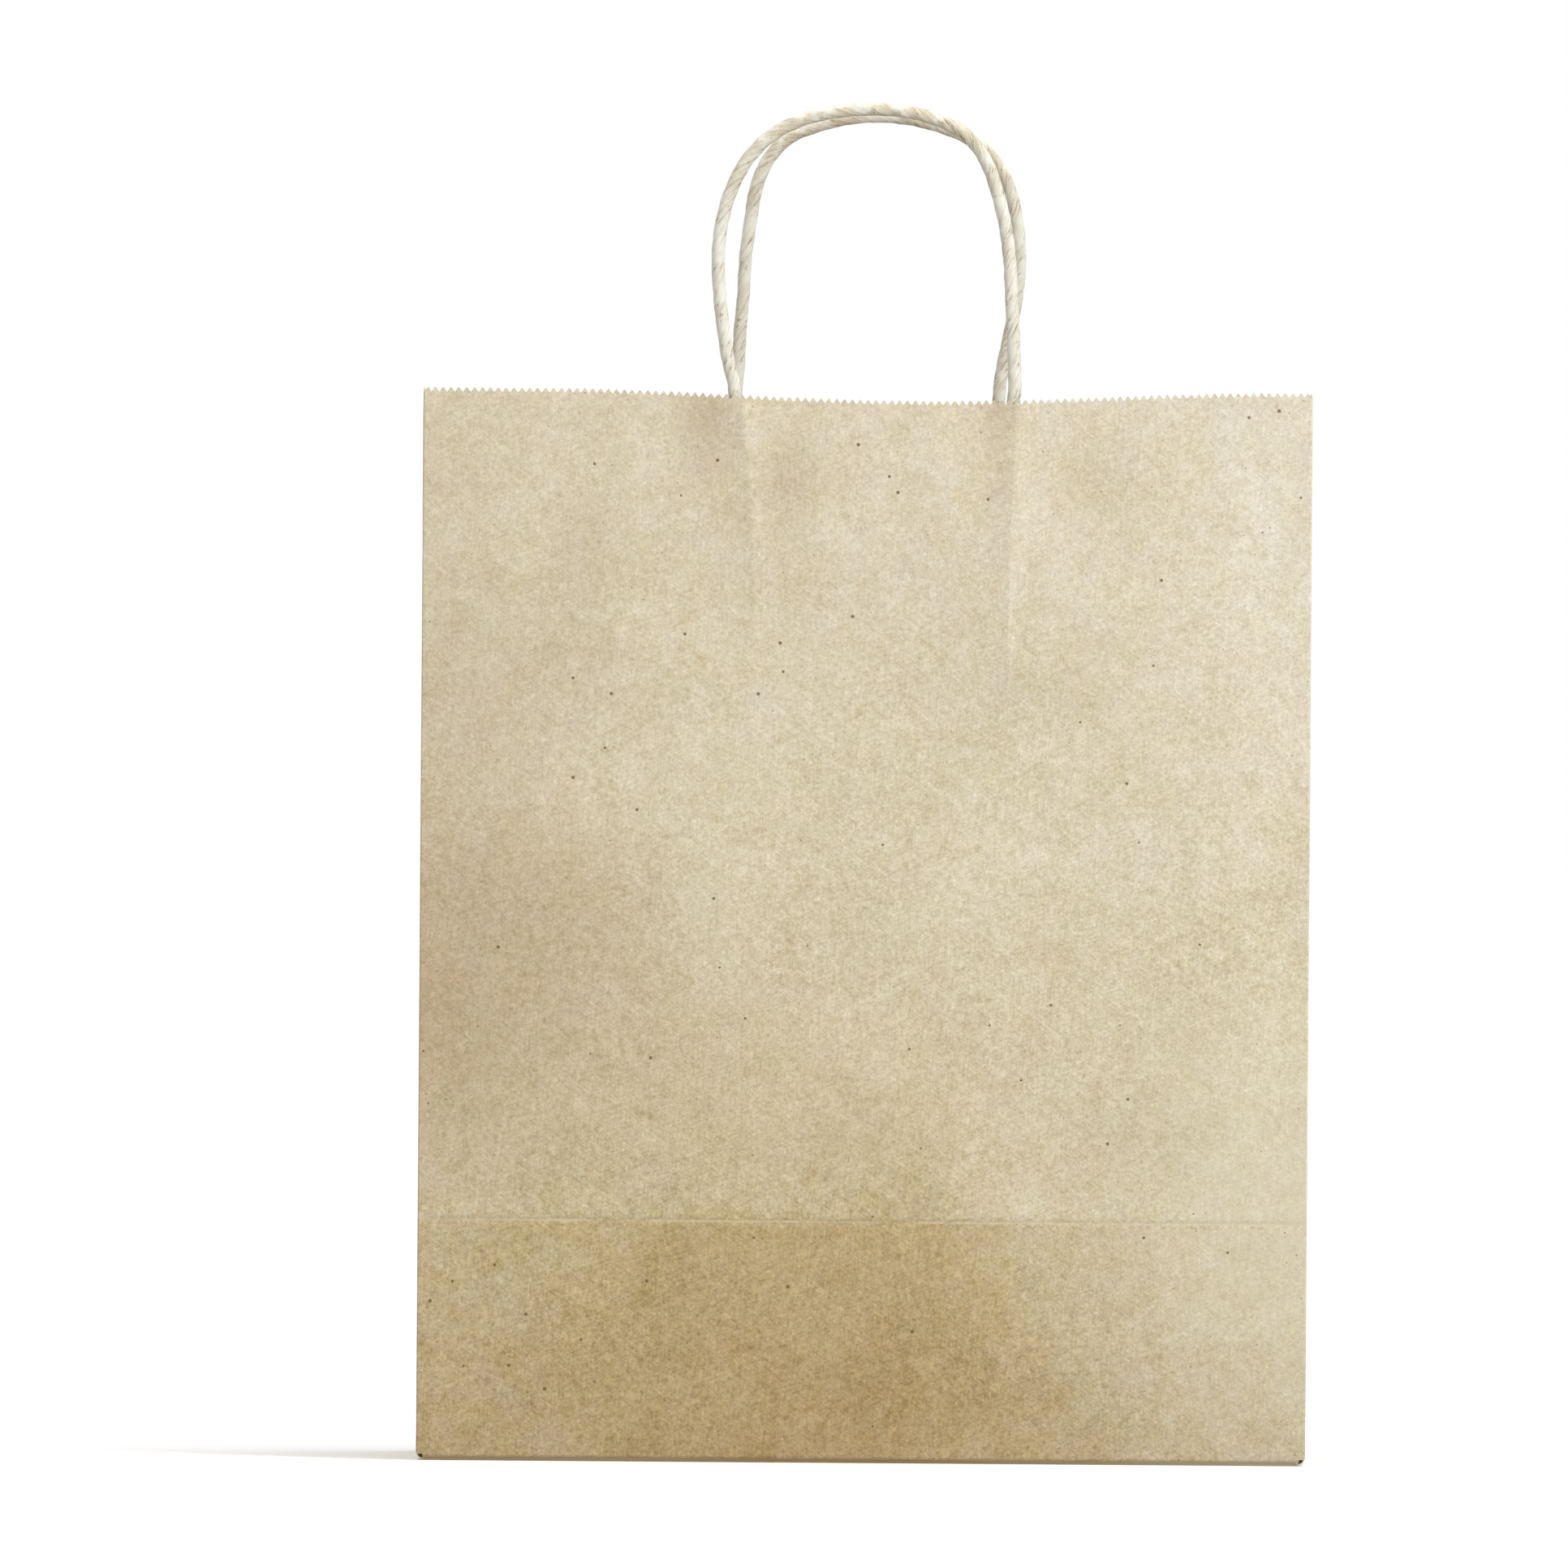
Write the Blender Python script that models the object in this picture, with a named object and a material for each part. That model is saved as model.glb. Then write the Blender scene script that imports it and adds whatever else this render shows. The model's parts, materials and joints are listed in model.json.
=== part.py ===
"""Paper gift bag with twisted-paper handles, standing open on its block bottom.

Frame: +X to the right, +Y from the front panel to the back panel, +Z up.  The
origin is on the ground, under the middle of the bag.  Every flat facet of the
paper between two folds is its own closed plate.  A facet's object origin lies
on the fold line that it turns about.
"""
import math

import bmesh
import bpy
from mathutils import Matrix, Vector

MM = 0.001

# Bag
WIDTH = 260.0 * MM
DEPTH = 140.0 * MM
HEIGHT = 313.3 * MM             # to the tooth tips at the corners
CREASE_HEIGHT = DEPTH / 2       # height of the horizontal crease all round the bag
PAPER = 0.25 * MM               # thickness of one sheet
GAP = 0.3 * MM                  # clearance between two neighbouring sheets

# Mouth edge: cut with a toothed blade, dipping a little off centre
TOOTH_PITCH = 2.3 * MM
TOOTH_DEPTH = 1.4 * MM
DIP_DEPTH = 3.0 * MM
DIP_CENTRE = 15.0 * MM
DIP_HALF_WIDTH = 110.0 * MM

# Bottom, from the ground up: outer flap, inner flap, side flaps
FLAP_REACH = 25.0 * MM          # how far each long flap passes the middle
SIDE_FLAP_REACH = 55.0 * MM
SIDE_FLAP_TRIM = 5.0 * MM       # clears the gussets when everything is folded flat
SEAM_LAP_WIDTH = 15.0 * MM
SEAM_LAP_INSET = 4.0 * MM

# Handles and the two-ply patches that hold their ends
ROPE_DIAMETER = 3.6 * MM
ROPE_END_WIDTH = 4.4 * MM       # pressed flat between the plies
ROPE_END_THICKNESS = 2.2 * MM
PATCH_LEFT = -54.5 * MM
PATCH_RIGHT = 59.5 * MM
PATCH_BOTTOM = 224.0 * MM
PATCH_TOP = 306.0 * MM
CHANNEL_HALF_WIDTH = 4.6 * MM   # half the width of the raised ply over a rope end
CHANNEL_SLOPE = 2.6 * MM
ROPE_SIDES = 10
ROPE_POINTS = 44

# Derived planes
HALF_W = WIDTH / 2
HALF_D = DEPTH / 2
INNER_X = HALF_W - PAPER        # inner face of a side wall
INNER_Y = HALF_D - PAPER        # inner face of the front and back panels
FOLD_X = INNER_X - GAP          # vertical fold lines at the four corners
FOLD_Y = INNER_Y - GAP
BASE_TOP = 3 * PAPER + 2 * GAP
ABOVE_BASE = BASE_TOP + GAP     # lowest level of everything that stands on the base
DIAGONAL_GAP = GAP * math.sqrt(2)
HANDLE_PIVOT_Z = HEIGHT - 1.1 * MM   # just above the teeth beside the handle's legs
ROPE_Y = INNER_Y - GAP - PAPER - GAP - ROPE_END_THICKNESS / 2

# Centre lines of the two handles above the mouth, (x, z) in millimetres.
FRONT_HANDLE_ROUTE = [
    (-39.1, 312.6), (-39.4, 315.5), (-40.9, 321.0), (-42.4, 330.0), (-43.6, 340.0),
    (-44.2, 350.5), (-43.4, 361.0), (-40.5, 371.5), (-35.4, 381.0), (-28.2, 388.0),
    (-18.5, 392.6), (-7.5, 394.9), (2.5, 395.4), (12.5, 394.4), (21.5, 391.6),
    (28.5, 387.6), (34.0, 380.5), (37.4, 371.0), (39.8, 361.0), (41.2, 350.5),
    (41.8, 340.0), (42.4, 328.0), (42.7, 318.0), (42.7, 312.6),
]
BACK_HANDLE_ROUTE = [
    (-38.9, 312.6), (-38.7, 316.0), (-38.2, 322.0), (-37.8, 332.0), (-37.0, 342.0),
    (-36.4, 353.0), (-35.0, 364.0), (-33.4, 374.5), (-29.8, 383.0), (-23.8, 389.5),
    (-16.0, 392.8), (-6.5, 395.2), (4.0, 396.0), (14.5, 394.8), (24.5, 391.9),
    (32.5, 387.8), (38.6, 381.2), (42.4, 372.5), (44.4, 362.0), (44.9, 351.5),
    (43.8, 341.0), (41.8, 330.5), (40.0, 321.5), (39.2, 316.0), (39.1, 312.6),
]
# Glued rope ends inside a patch, (x, z) in millimetres from the mouth down.
LEFT_END_ROUTE = [(-39.0, 312.0), (-36.8, 293.0), (-35.2, 270.0), (-34.0, 229.0)]
FRONT_RIGHT_END_ROUTE = [(42.7, 312.0), (40.9, 293.0), (40.0, 268.0), (39.6, 229.0)]
BACK_RIGHT_END_ROUTE = [(39.1, 312.0), (39.3, 293.0), (39.4, 268.0), (39.4, 229.0)]

# Kraft and cream paper: colour, roughness
KRAFT = ((0.62, 0.53, 0.37), 0.85)
KRAFT_BASE = ((0.50, 0.40, 0.25), 0.85)
KRAFT_PATCH = ((0.58, 0.49, 0.34), 0.85)
CREAM = ((0.84, 0.77, 0.62), 0.80)


def clear_scene():
    """Start from an empty scene."""
    for old in list(bpy.data.objects):
        bpy.data.objects.remove(old, do_unlink=True)


def paper_material(name, finish):
    """A Principled material of its own for one sub-part."""
    colour, roughness = finish
    material = bpy.data.materials.new(name)
    material.use_nodes = True
    shader = material.node_tree.nodes["Principled BSDF"]
    shader.inputs["Base Color"].default_value = (*colour, 1.0)
    shader.inputs["Roughness"].default_value = roughness
    shader.inputs["Metallic"].default_value = 0.0
    material.diffuse_color = (*colour, 1.0)
    return material


def finish_object(name, mesh, finish, origin, parent=None):
    """Link a mesh made in world coordinates, with its origin moved to a fold line."""
    mesh.transform(Matrix.Translation(-Vector(origin)))
    mesh.materials.append(paper_material(name, finish))
    made = bpy.data.objects.new(name, mesh)
    bpy.context.collection.objects.link(made)
    made.location = origin
    if parent is not None:
        made.parent = parent
        made.location = Vector(origin) - parent_origin(parent)
    return made


def parent_origin(parent):
    """World place of a parent, which may itself be parented."""
    place = Vector(parent.location)
    while parent.parent is not None:
        parent = parent.parent
        place += Vector(parent.location)
    return place


def plate(name, outline, place, push, finish, origin, parent=None):
    """A sheet: a flat outline, placed by place(u, v), pushed into a solid along push."""
    mesh = bpy.data.meshes.new(name)
    shape = bmesh.new()
    face = shape.faces.new([shape.verts.new(place(u, v)) for u, v in outline])
    grown = bmesh.ops.extrude_face_region(shape, geom=[face])
    moved = [item for item in grown["geom"] if isinstance(item, bmesh.types.BMVert)]
    bmesh.ops.translate(shape, verts=moved, vec=Vector(push))
    bmesh.ops.recalc_face_normals(shape, faces=shape.faces)
    bmesh.ops.triangulate(shape, faces=shape.faces)
    shape.to_mesh(mesh)
    shape.free()
    return finish_object(name, mesh, finish, origin, parent)


def mouth_z(x):
    """Height of the tooth tips at x."""
    dip = 0.0
    if abs(x - DIP_CENTRE) < DIP_HALF_WIDTH:
        dip = DIP_DEPTH * math.cos(math.pi / 2 * (x - DIP_CENTRE) / DIP_HALF_WIDTH) ** 2
    return HEIGHT - dip


def toothed_edge(start, end, height_at):
    """Zigzag points (u, z) from start to end, whole teeth, tips at height_at(u)."""
    count = max(1, round(abs(end - start) / TOOTH_PITCH))
    step = (end - start) / count
    points = []
    for tooth in range(count):
        root = start + tooth * step
        tip = root + step / 2
        points.append((root, height_at(root) - TOOTH_DEPTH))
        points.append((tip, height_at(tip)))
    points.append((end, height_at(end) - TOOTH_DEPTH))
    return points


def wide_panel(name, y_low, z_low, parent, origin):
    """A front or back panel: full width, toothed at the top."""
    outline = [(-HALF_W, z_low), (HALF_W, z_low)]
    outline += toothed_edge(HALF_W, -HALF_W, mouth_z)
    return plate(name, outline, lambda x, z: (x, y_low, z), (0, PAPER, 0),
                 KRAFT, origin, parent)


def side_sheet(name, side, outline, x_inner, finish, origin, parent):
    """A sheet in a plane of constant x.  side is -1 for left, +1 for right."""
    return plate(name, outline, lambda y, z: (side * x_inner, y, z),
                 (side * PAPER, 0, 0), finish, origin, parent)


def gussets(side, label, front_panel, back_panel, strip):
    """The folding side wall: front half, rear half and the rear corner triangle."""
    top = mouth_z(side * HALF_W)
    ends = GAP / 2
    corner = (side * FOLD_X, -FOLD_Y, 0.0)
    centre = (side * (HALF_W + GAP), 0.0, 0.0)
    rear_corner = (side * FOLD_X, FOLD_Y, 0.0)

    def level(_):
        return top

    def diagonal(y):
        """Height of the 45 degree fold, seen from the nearer corner."""
        return HALF_D - abs(y)

    low_y = -HALF_D + ABOVE_BASE - DIAGONAL_GAP
    front = [(-FOLD_Y, ABOVE_BASE), (low_y, ABOVE_BASE),
             (-ends, HALF_D - ends + DIAGONAL_GAP)]
    front += toothed_edge(-ends, -FOLD_Y, level)
    front_half = side_sheet(f"{label}_gusset_front", side, front, INNER_X, KRAFT,
                            corner, front_panel)

    rear = [(ends, CREASE_HEIGHT + ends), (FOLD_Y, CREASE_HEIGHT + ends)]
    rear += toothed_edge(FOLD_Y, ends, level)
    side_sheet(f"{label}_gusset_rear", side, rear, INNER_X, KRAFT, centre, front_half)

    crest = CREASE_HEIGHT - ends
    triangle = [(HALF_D - ABOVE_BASE + DIAGONAL_GAP, ABOVE_BASE), (FOLD_Y, ABOVE_BASE),
                (FOLD_Y, crest), (HALF_D - crest + DIAGONAL_GAP, crest)]
    side_sheet(f"{label}_rear_corner", side, triangle, INNER_X, KRAFT,
               rear_corner, strip)


def bottom(front_panel):
    """The pasted block bottom: four flaps that move as one sheet, and two gores."""
    hinge = (0.0, -FOLD_Y, ABOVE_BASE)
    half_width = INNER_X - GAP
    levels = [0.0, PAPER + GAP, 2 * (PAPER + GAP)]

    def flap(name, outline, level, parent):
        return plate(name, outline, lambda x, y: (x, y, levels[level]),
                     (0, 0, PAPER), KRAFT_BASE, hinge, parent)

    outer = [(-half_width, -FLAP_REACH), (half_width, -FLAP_REACH),
             (half_width, FOLD_Y), (-half_width, FOLD_Y)]
    inner = [(-half_width, -FOLD_Y), (half_width, -FOLD_Y),
             (half_width, FLAP_REACH), (-half_width, FLAP_REACH)]
    base = flap("base_outer_flap", outer, 0, front_panel)
    flap("base_inner_flap", inner, 1, base)
    for side, label in ((-1, "left"), (1, "right")):
        reach = half_width - SIDE_FLAP_REACH
        edge = FOLD_Y - SIDE_FLAP_TRIM
        tip = edge - SIDE_FLAP_REACH
        outline = [(side * half_width, -edge), (side * half_width, edge),
                   (side * reach, tip), (side * reach, -tip)]
        flap(f"base_{label}_flap", outline, 2, base)
        gore_inner = INNER_X - GAP - 2 * PAPER
        low = HALF_D - ABOVE_BASE
        gore = [(-low, ABOVE_BASE), (low, ABOVE_BASE), (0.0, CREASE_HEIGHT)]
        side_sheet(f"{label}_gore", side, gore, gore_inner, KRAFT_BASE,
                   (side * (gore_inner - GAP), 0.0, ABOVE_BASE), base)


def seam_laps(back_panel, strip):
    """The glued lap of the tube's long seam, on the inside of the back, in two lengths."""
    left = -FOLD_X + SEAM_LAP_INSET
    right = left + SEAM_LAP_WIDTH
    ends = GAP / 2
    upper_top = mouth_z(-HALF_W) - DIP_DEPTH
    for name, low, high, parent in (
            ("side_seam_lap", CREASE_HEIGHT + ends, upper_top, back_panel),
            ("side_seam_lap_foot", ABOVE_BASE, CREASE_HEIGHT - ends, strip)):
        outline = [(left, low), (right, low), (right, high), (left, high)]
        plate(name, outline, lambda x, z: (x, FOLD_Y - PAPER, z), (0, PAPER, 0),
              KRAFT_PATCH, (left, FOLD_Y, low), parent)


def raised_profile(route_xs):
    """Profile (x, lift) of the inner ply, raised over the rope ends at route_xs."""
    lift = ROPE_END_THICKNESS + GAP
    profile = [(PATCH_LEFT, 0.0)]
    for x in route_xs:
        profile.append((x - CHANNEL_HALF_WIDTH - CHANNEL_SLOPE, 0.0))
        profile.append((x - CHANNEL_HALF_WIDTH, lift))
        profile.append((x + CHANNEL_HALF_WIDTH, lift))
        profile.append((x + CHANNEL_HALF_WIDTH + CHANNEL_SLOPE, 0.0))
    profile.append((PATCH_RIGHT, 0.0))
    return profile


def rope_end(name, route, facing, parent):
    """A handle's glued end: a flattened round section swept down a short route."""
    mesh = bpy.data.meshes.new(name)
    shape = bmesh.new()
    rings = []
    for x, z in route:
        ring = []
        for side in range(ROPE_SIDES):
            turn = 2 * math.pi * side / ROPE_SIDES
            ring.append(shape.verts.new((
                x * MM + ROPE_END_WIDTH / 2 * math.cos(turn),
                facing * (-ROPE_Y + ROPE_END_THICKNESS / 2 * math.sin(turn)),
                z * MM)))
        rings.append(ring)
    for above, below in zip(rings, rings[1:]):
        for side in range(ROPE_SIDES):
            after = (side + 1) % ROPE_SIDES
            shape.faces.new((above[side], above[after], below[after], below[side]))
    shape.faces.new(rings[0])
    shape.faces.new(rings[-1])
    bmesh.ops.recalc_face_normals(shape, faces=shape.faces)
    bmesh.ops.triangulate(shape, faces=shape.faces)
    shape.to_mesh(mesh)
    shape.free()
    mesh.shade_smooth()
    mesh.set_sharp_from_angle(angle=math.radians(50))
    top_x, top_z = route[0]
    return finish_object(name, mesh, CREAM,
                         (top_x * MM, -facing * ROPE_Y, top_z * MM), parent)


def handle_mount(panel, label, facing, end_routes):
    """A handle's fixed half.  facing is +1 on the front panel, -1 on the back panel."""
    def at(depth_inside):
        """World y of a plane this far inside the panel's inner face."""
        return facing * (-INNER_Y + depth_inside)

    push = (0, facing * PAPER, 0)
    outer = [(PATCH_LEFT, PATCH_BOTTOM), (PATCH_RIGHT, PATCH_BOTTOM),
             (PATCH_RIGHT, PATCH_TOP), (PATCH_LEFT, PATCH_TOP)]
    hinge = (0.0, at(GAP), PATCH_TOP)
    plate(f"{label}_patch_outer_ply", outer, lambda x, z: (x, at(GAP), z), push,
          KRAFT_PATCH, hinge, panel)
    middles = [sum(x for x, _ in route) / len(route) * MM for route in end_routes]
    profile = raised_profile(middles)
    low = 2 * GAP + PAPER
    section = [(x, low + lift) for x, lift in profile]
    section += [(x, low + lift + PAPER) for x, lift in reversed(profile)]
    plate(f"{label}_patch_inner_ply", section, lambda x, d: (x, at(d), PATCH_BOTTOM),
          (0, 0, PATCH_TOP - PATCH_BOTTOM), KRAFT_PATCH, hinge, panel)
    for side, route in zip(("left", "right"), end_routes):
        rope_end(f"{label}_handle_{side}_end", route, facing, panel)


def smooth_route(points, count):
    """Evenly spaced points of a Catmull-Rom curve through points."""
    dense = []
    padded = [points[0]] + points + [points[-1]]
    for a, b, c, d in zip(padded, padded[1:], padded[2:], padded[3:]):
        for step in range(12):
            t = step / 12
            dense.append(0.5 * ((2 * b) + (c - a) * t + (2 * a - 5 * b + 4 * c - d) * t ** 2
                                + (3 * b - a - 3 * c + d) * t ** 3))
    dense.append(points[-1])
    lengths = [0.0]
    for a, b in zip(dense, dense[1:]):
        lengths.append(lengths[-1] + (b - a).length)
    even, index = [], 0
    for step in range(count):
        target = lengths[-1] * step / (count - 1)
        while index < len(dense) - 2 and lengths[index + 1] < target:
            index += 1
        part = (target - lengths[index]) / (lengths[index + 1] - lengths[index])
        even.append(dense[index].lerp(dense[index + 1], min(1.0, part)))
    return even


def handle_loop(name, route, facing, parent):
    """The free loop of a handle: a round rope whose origin is on its swing axis."""
    pivot = Vector((0.0, -facing * (HALF_D - PAPER / 2), HANDLE_PIVOT_Z))
    points = [Vector((x * MM, -facing * ROPE_Y, z * MM)) - pivot for x, z in route]
    curve = bpy.data.curves.new(name, "CURVE")
    curve.dimensions = "3D"
    curve.bevel_depth = ROPE_DIAMETER / 2
    curve.bevel_resolution = 3
    curve.use_fill_caps = True
    spline = curve.splines.new("POLY")
    path = smooth_route(points, ROPE_POINTS)
    spline.points.add(len(path) - 1)
    for point, place in zip(spline.points, path):
        point.co = (*place, 1.0)
    curve.materials.append(paper_material(name, CREAM))
    made = bpy.data.objects.new(name, curve)
    bpy.context.collection.objects.link(made)
    made.parent = parent
    made.location = pivot - parent_origin(parent)
    return made


def build():
    clear_scene()
    front = wide_panel("front_panel", -HALF_D, 0.0, None, (0.0, -HALF_D, 0.0))
    back = wide_panel("back_panel", INNER_Y, CREASE_HEIGHT + GAP / 2, front,
                      (-FOLD_X, FOLD_Y, 0.0))
    strip_top = CREASE_HEIGHT - GAP / 2
    strip_outline = [(-HALF_W, ABOVE_BASE), (HALF_W, ABOVE_BASE),
                     (HALF_W, strip_top), (-HALF_W, strip_top)]
    strip = plate("rear_bottom_strip", strip_outline, lambda x, z: (x, INNER_Y, z),
                  (0, PAPER, 0), KRAFT_BASE, (0.0, HALF_D + GAP, CREASE_HEIGHT), back)
    gussets(-1, "left", front, back, strip)
    gussets(1, "right", front, back, strip)
    bottom(front)
    seam_laps(back, strip)
    handle_mount(front, "front", 1, [LEFT_END_ROUTE, FRONT_RIGHT_END_ROUTE])
    handle_mount(back, "back", -1, [LEFT_END_ROUTE, BACK_RIGHT_END_ROUTE])
    handle_loop("front_handle_loop", FRONT_HANDLE_ROUTE, 1, front)
    handle_loop("back_handle_loop", BACK_HANDLE_ROUTE, -1, back)


build()
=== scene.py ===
"""Looks of the kraft paper gift bag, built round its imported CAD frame.

Every sheet is modelled at rest in the CAD's own frame and metres, with its object origin at
the world origin, so one pattern of fibres and clouds runs on across all the folds.
"""

import json
import math

import bmesh
import bpy
import numpy as np
from mathutils import Euler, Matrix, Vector, noise


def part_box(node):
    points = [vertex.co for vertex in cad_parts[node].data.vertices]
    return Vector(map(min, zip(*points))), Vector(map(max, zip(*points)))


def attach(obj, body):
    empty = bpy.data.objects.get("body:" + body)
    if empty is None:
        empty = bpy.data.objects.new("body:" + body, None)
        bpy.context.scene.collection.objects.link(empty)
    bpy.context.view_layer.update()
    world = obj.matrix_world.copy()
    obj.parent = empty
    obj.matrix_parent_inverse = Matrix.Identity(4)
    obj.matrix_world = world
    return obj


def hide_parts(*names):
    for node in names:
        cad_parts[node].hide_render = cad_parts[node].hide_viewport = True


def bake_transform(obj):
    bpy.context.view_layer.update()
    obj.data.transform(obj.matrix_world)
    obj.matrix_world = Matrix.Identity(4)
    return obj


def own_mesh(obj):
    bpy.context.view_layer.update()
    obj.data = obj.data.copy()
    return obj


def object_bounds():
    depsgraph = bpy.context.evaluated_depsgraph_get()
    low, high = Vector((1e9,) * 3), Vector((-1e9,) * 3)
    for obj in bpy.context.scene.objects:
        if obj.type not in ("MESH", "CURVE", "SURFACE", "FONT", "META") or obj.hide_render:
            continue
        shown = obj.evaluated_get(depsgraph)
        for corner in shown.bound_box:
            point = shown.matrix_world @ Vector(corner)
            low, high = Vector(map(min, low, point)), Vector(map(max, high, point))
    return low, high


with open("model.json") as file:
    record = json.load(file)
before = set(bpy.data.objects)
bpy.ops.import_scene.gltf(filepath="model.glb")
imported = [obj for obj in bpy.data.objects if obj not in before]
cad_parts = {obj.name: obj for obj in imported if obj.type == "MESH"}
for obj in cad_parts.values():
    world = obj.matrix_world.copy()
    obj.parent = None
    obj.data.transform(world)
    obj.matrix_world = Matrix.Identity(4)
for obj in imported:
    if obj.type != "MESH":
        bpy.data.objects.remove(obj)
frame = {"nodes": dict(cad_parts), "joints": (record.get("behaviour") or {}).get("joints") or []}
CAD_LOW, CAD_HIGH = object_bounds()

MM = 0.001
X, Y, Z = Vector((1, 0, 0)), Vector((0, 1, 0)), Vector((0, 0, 1))

# Sizes that come from the frame
JOINT_AT = {joint["name"]: joint["pos_m"] for joint in frame["joints"]}
FRONT_LOW, FRONT_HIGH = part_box("front_panel")
PATCH_LOW, PATCH_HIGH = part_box("front_patch_outer_ply")
HALF_W = FRONT_HIGH.x
HALF_D = -FRONT_LOW.y
PAPER = FRONT_HIGH.y - FRONT_LOW.y
FOLD_X = abs(JOINT_AT["side_fold"][0])
FOLD_Y = abs(JOINT_AT["side_fold"][1])
CORNER_RADIUS = HALF_W - FOLD_X
CREASE = JOINT_AT["rear_bottom_crease"][2]
WALL_FOOT = JOINT_AT["bottom_fold"][2]
HANDLE_PIVOT = JOINT_AT["front_handle_swing"][2]
INNER_FLAP_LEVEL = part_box("base_inner_flap")[0].z
INNER_FLAP_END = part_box("base_inner_flap")[1].y
ROPE_Y = -sum(corner.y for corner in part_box("front_handle_left_end")) / 2

# Paper relief, as heights above the flat sheet
BOW = 1.3 * MM  # the wide panels stand this proud at mid height
COCKLE = 0.9 * MM
COCKLE_WAVES = ((80 * MM, 1.0), (34 * MM, 0.45), (12 * MM, 0.12))  # (length, share)
SIDE_COCKLE, STRIP_COCKLE = 0.8, 0.6  # how much of the cockles the narrow walls take
STREAK = 0.42 * MM  # upright ripples near the mouth
STREAK_WIDTH, STREAK_LENGTH = 13 * MM, 75 * MM
STREAK_FROM, STREAK_REACH = 190 * MM, 80 * MM
FADE_REACH = 28.0 * MM  # relief dies out over this distance beside a fold
EDGE_REACH = 1.5 * MM  # sharper relief runs on to this distance from a corner
CREASE_GROOVE, CREASE_GROOVE_WIDTH = 0.30 * MM, 0.7 * MM
CREASE_CALM, CREASE_CALM_REACH = 0.2, 6 * MM  # share of the cockles left on the crease
SIDE_CALM_REACH, MIDDLE_CALM_REACH = 12 * MM, 14 * MM
STRIP_CALM_REACH = 20 * MM
RIDGE_HEIGHT = 1.2 * MM  # the panel stands up over a glued rope end
RIDGE_CREST = 1.9 * MM  # the crest runs beside the rope, to its right
RIDGE_LEFT, RIDGE_RIGHT = 5.5 * MM, 3.5 * MM
RIDGE_TAIL, RIDGE_TAIL_REACH = 6 * MM, 14 * MM  # it runs on a little below the rope's end
RIDGE_LOSS = (0.62, 0.20)  # how much of its height each rope's ridge loses lower down
RIDGE_LOSS_FROM, RIDGE_LOSS_REACH = 292 * MM, 55 * MM
PATCH_STEP, PATCH_EDGE = 0.14 * MM, 3 * MM  # height and width of the patch's printed edge
CHANNEL_LIFT = 2.5 * MM  # the inner ply stands off the panel over a rope end
CHANNEL_FLAT, CHANNEL_REACH = 2.5 * MM, 7.5 * MM
CHANNEL_FOOT = 4 * MM

# Folds
HINGE_HALF = 0.5 * MM  # paper on either side of a crease that takes part in the bend
DIAGONAL_HALF = 0.2 * MM  # half the slit along a 45 degree fold
FOOT_RADIUS = WALL_FOOT - 0.05 * MM  # the bottom turns up to the rear and side walls
FOOT_CENTRE = 1.35 * MM  # the front panel turns under from this height
FRONT_FOOT_RADIUS = FOOT_CENTRE - INNER_FLAP_LEVEL
GORE_INSET = PAPER + 0.02 * MM  # the gore lies just inside the gusset
GORE_X = HALF_W - GORE_INSET
GORE_LIP = 1.2 * MM

# Mesh spacing
ROW_STEP = 3.0 * MM
FINE_STEP = 0.55 * MM
CREASE_WINDOW, RIDGE_WINDOW = 3 * MM, 5 * MM  # the mesh is fine this far to either side
BEND_STEPS = 8  # strips across a crease that bends
TURN_STEPS = 6  # strips round a quarter turn
TRIANGLE_STEPS = 20
ROOT_CLEAR = 0.2 * MM  # a root this close to a sheet's edge gets no column of its own
SMOOTH_ANGLE = math.radians(50)
MOUTH_BAND = 20.0 * MM  # rows bend to follow the dipping mouth over this height
NEAR = 1e-6

# Teeth
TOOTH_BAND = 8.0 * MM  # all of a CAD node's teeth stand above this depth below its top
TOOTH_SAMPLES = 8
ZIGZAG_SHARE = 0.62  # the rest of a tooth's shape is a rounded wave
TOOTH_WEAR, WEAR_PACE = 0.12, 0.37
TOOTH_LEAN, LEAN_PACE = 0.06, 0.53

# Twisted rope
ROPE_RADIUS = 1.92 * MM
END_HALF_WIDTH = 2.2 * MM
END_HALF_THICKNESS = 1.1 * MM
FLATTEN_FROM, FLATTEN_TO = HANDLE_PIVOT - 1.0 * MM, HANDLE_PIVOT - 7.0 * MM
TWIST_PITCH = 21.0 * MM
ROPE_STEP = 0.75 * MM
ROPE_SIDES = 44
GROOVE_DEPTH = 0.24 * MM
PATH_PARTS, PATH_SOFTENING = 20, 6
SWELL, LOBE, FRAY = 0.05, 0.03, 0.035  # shares of the radius
TWIST_DRIFT, GROOVE_DRIFT = 0.9, 0.35
SWAY = 0.12 * MM
# Helical creases: (turn round the rope, depth share, half width), angles in radians
ROPE_GROOVES = ((0.0, 1.0, 0.13), (1.95, 0.85, 0.11), (4.05, 0.95, 0.12),
                (0.95, 0.40, 0.10), (3.15, 0.35, 0.10), (5.20, 0.45, 0.10))

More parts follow.
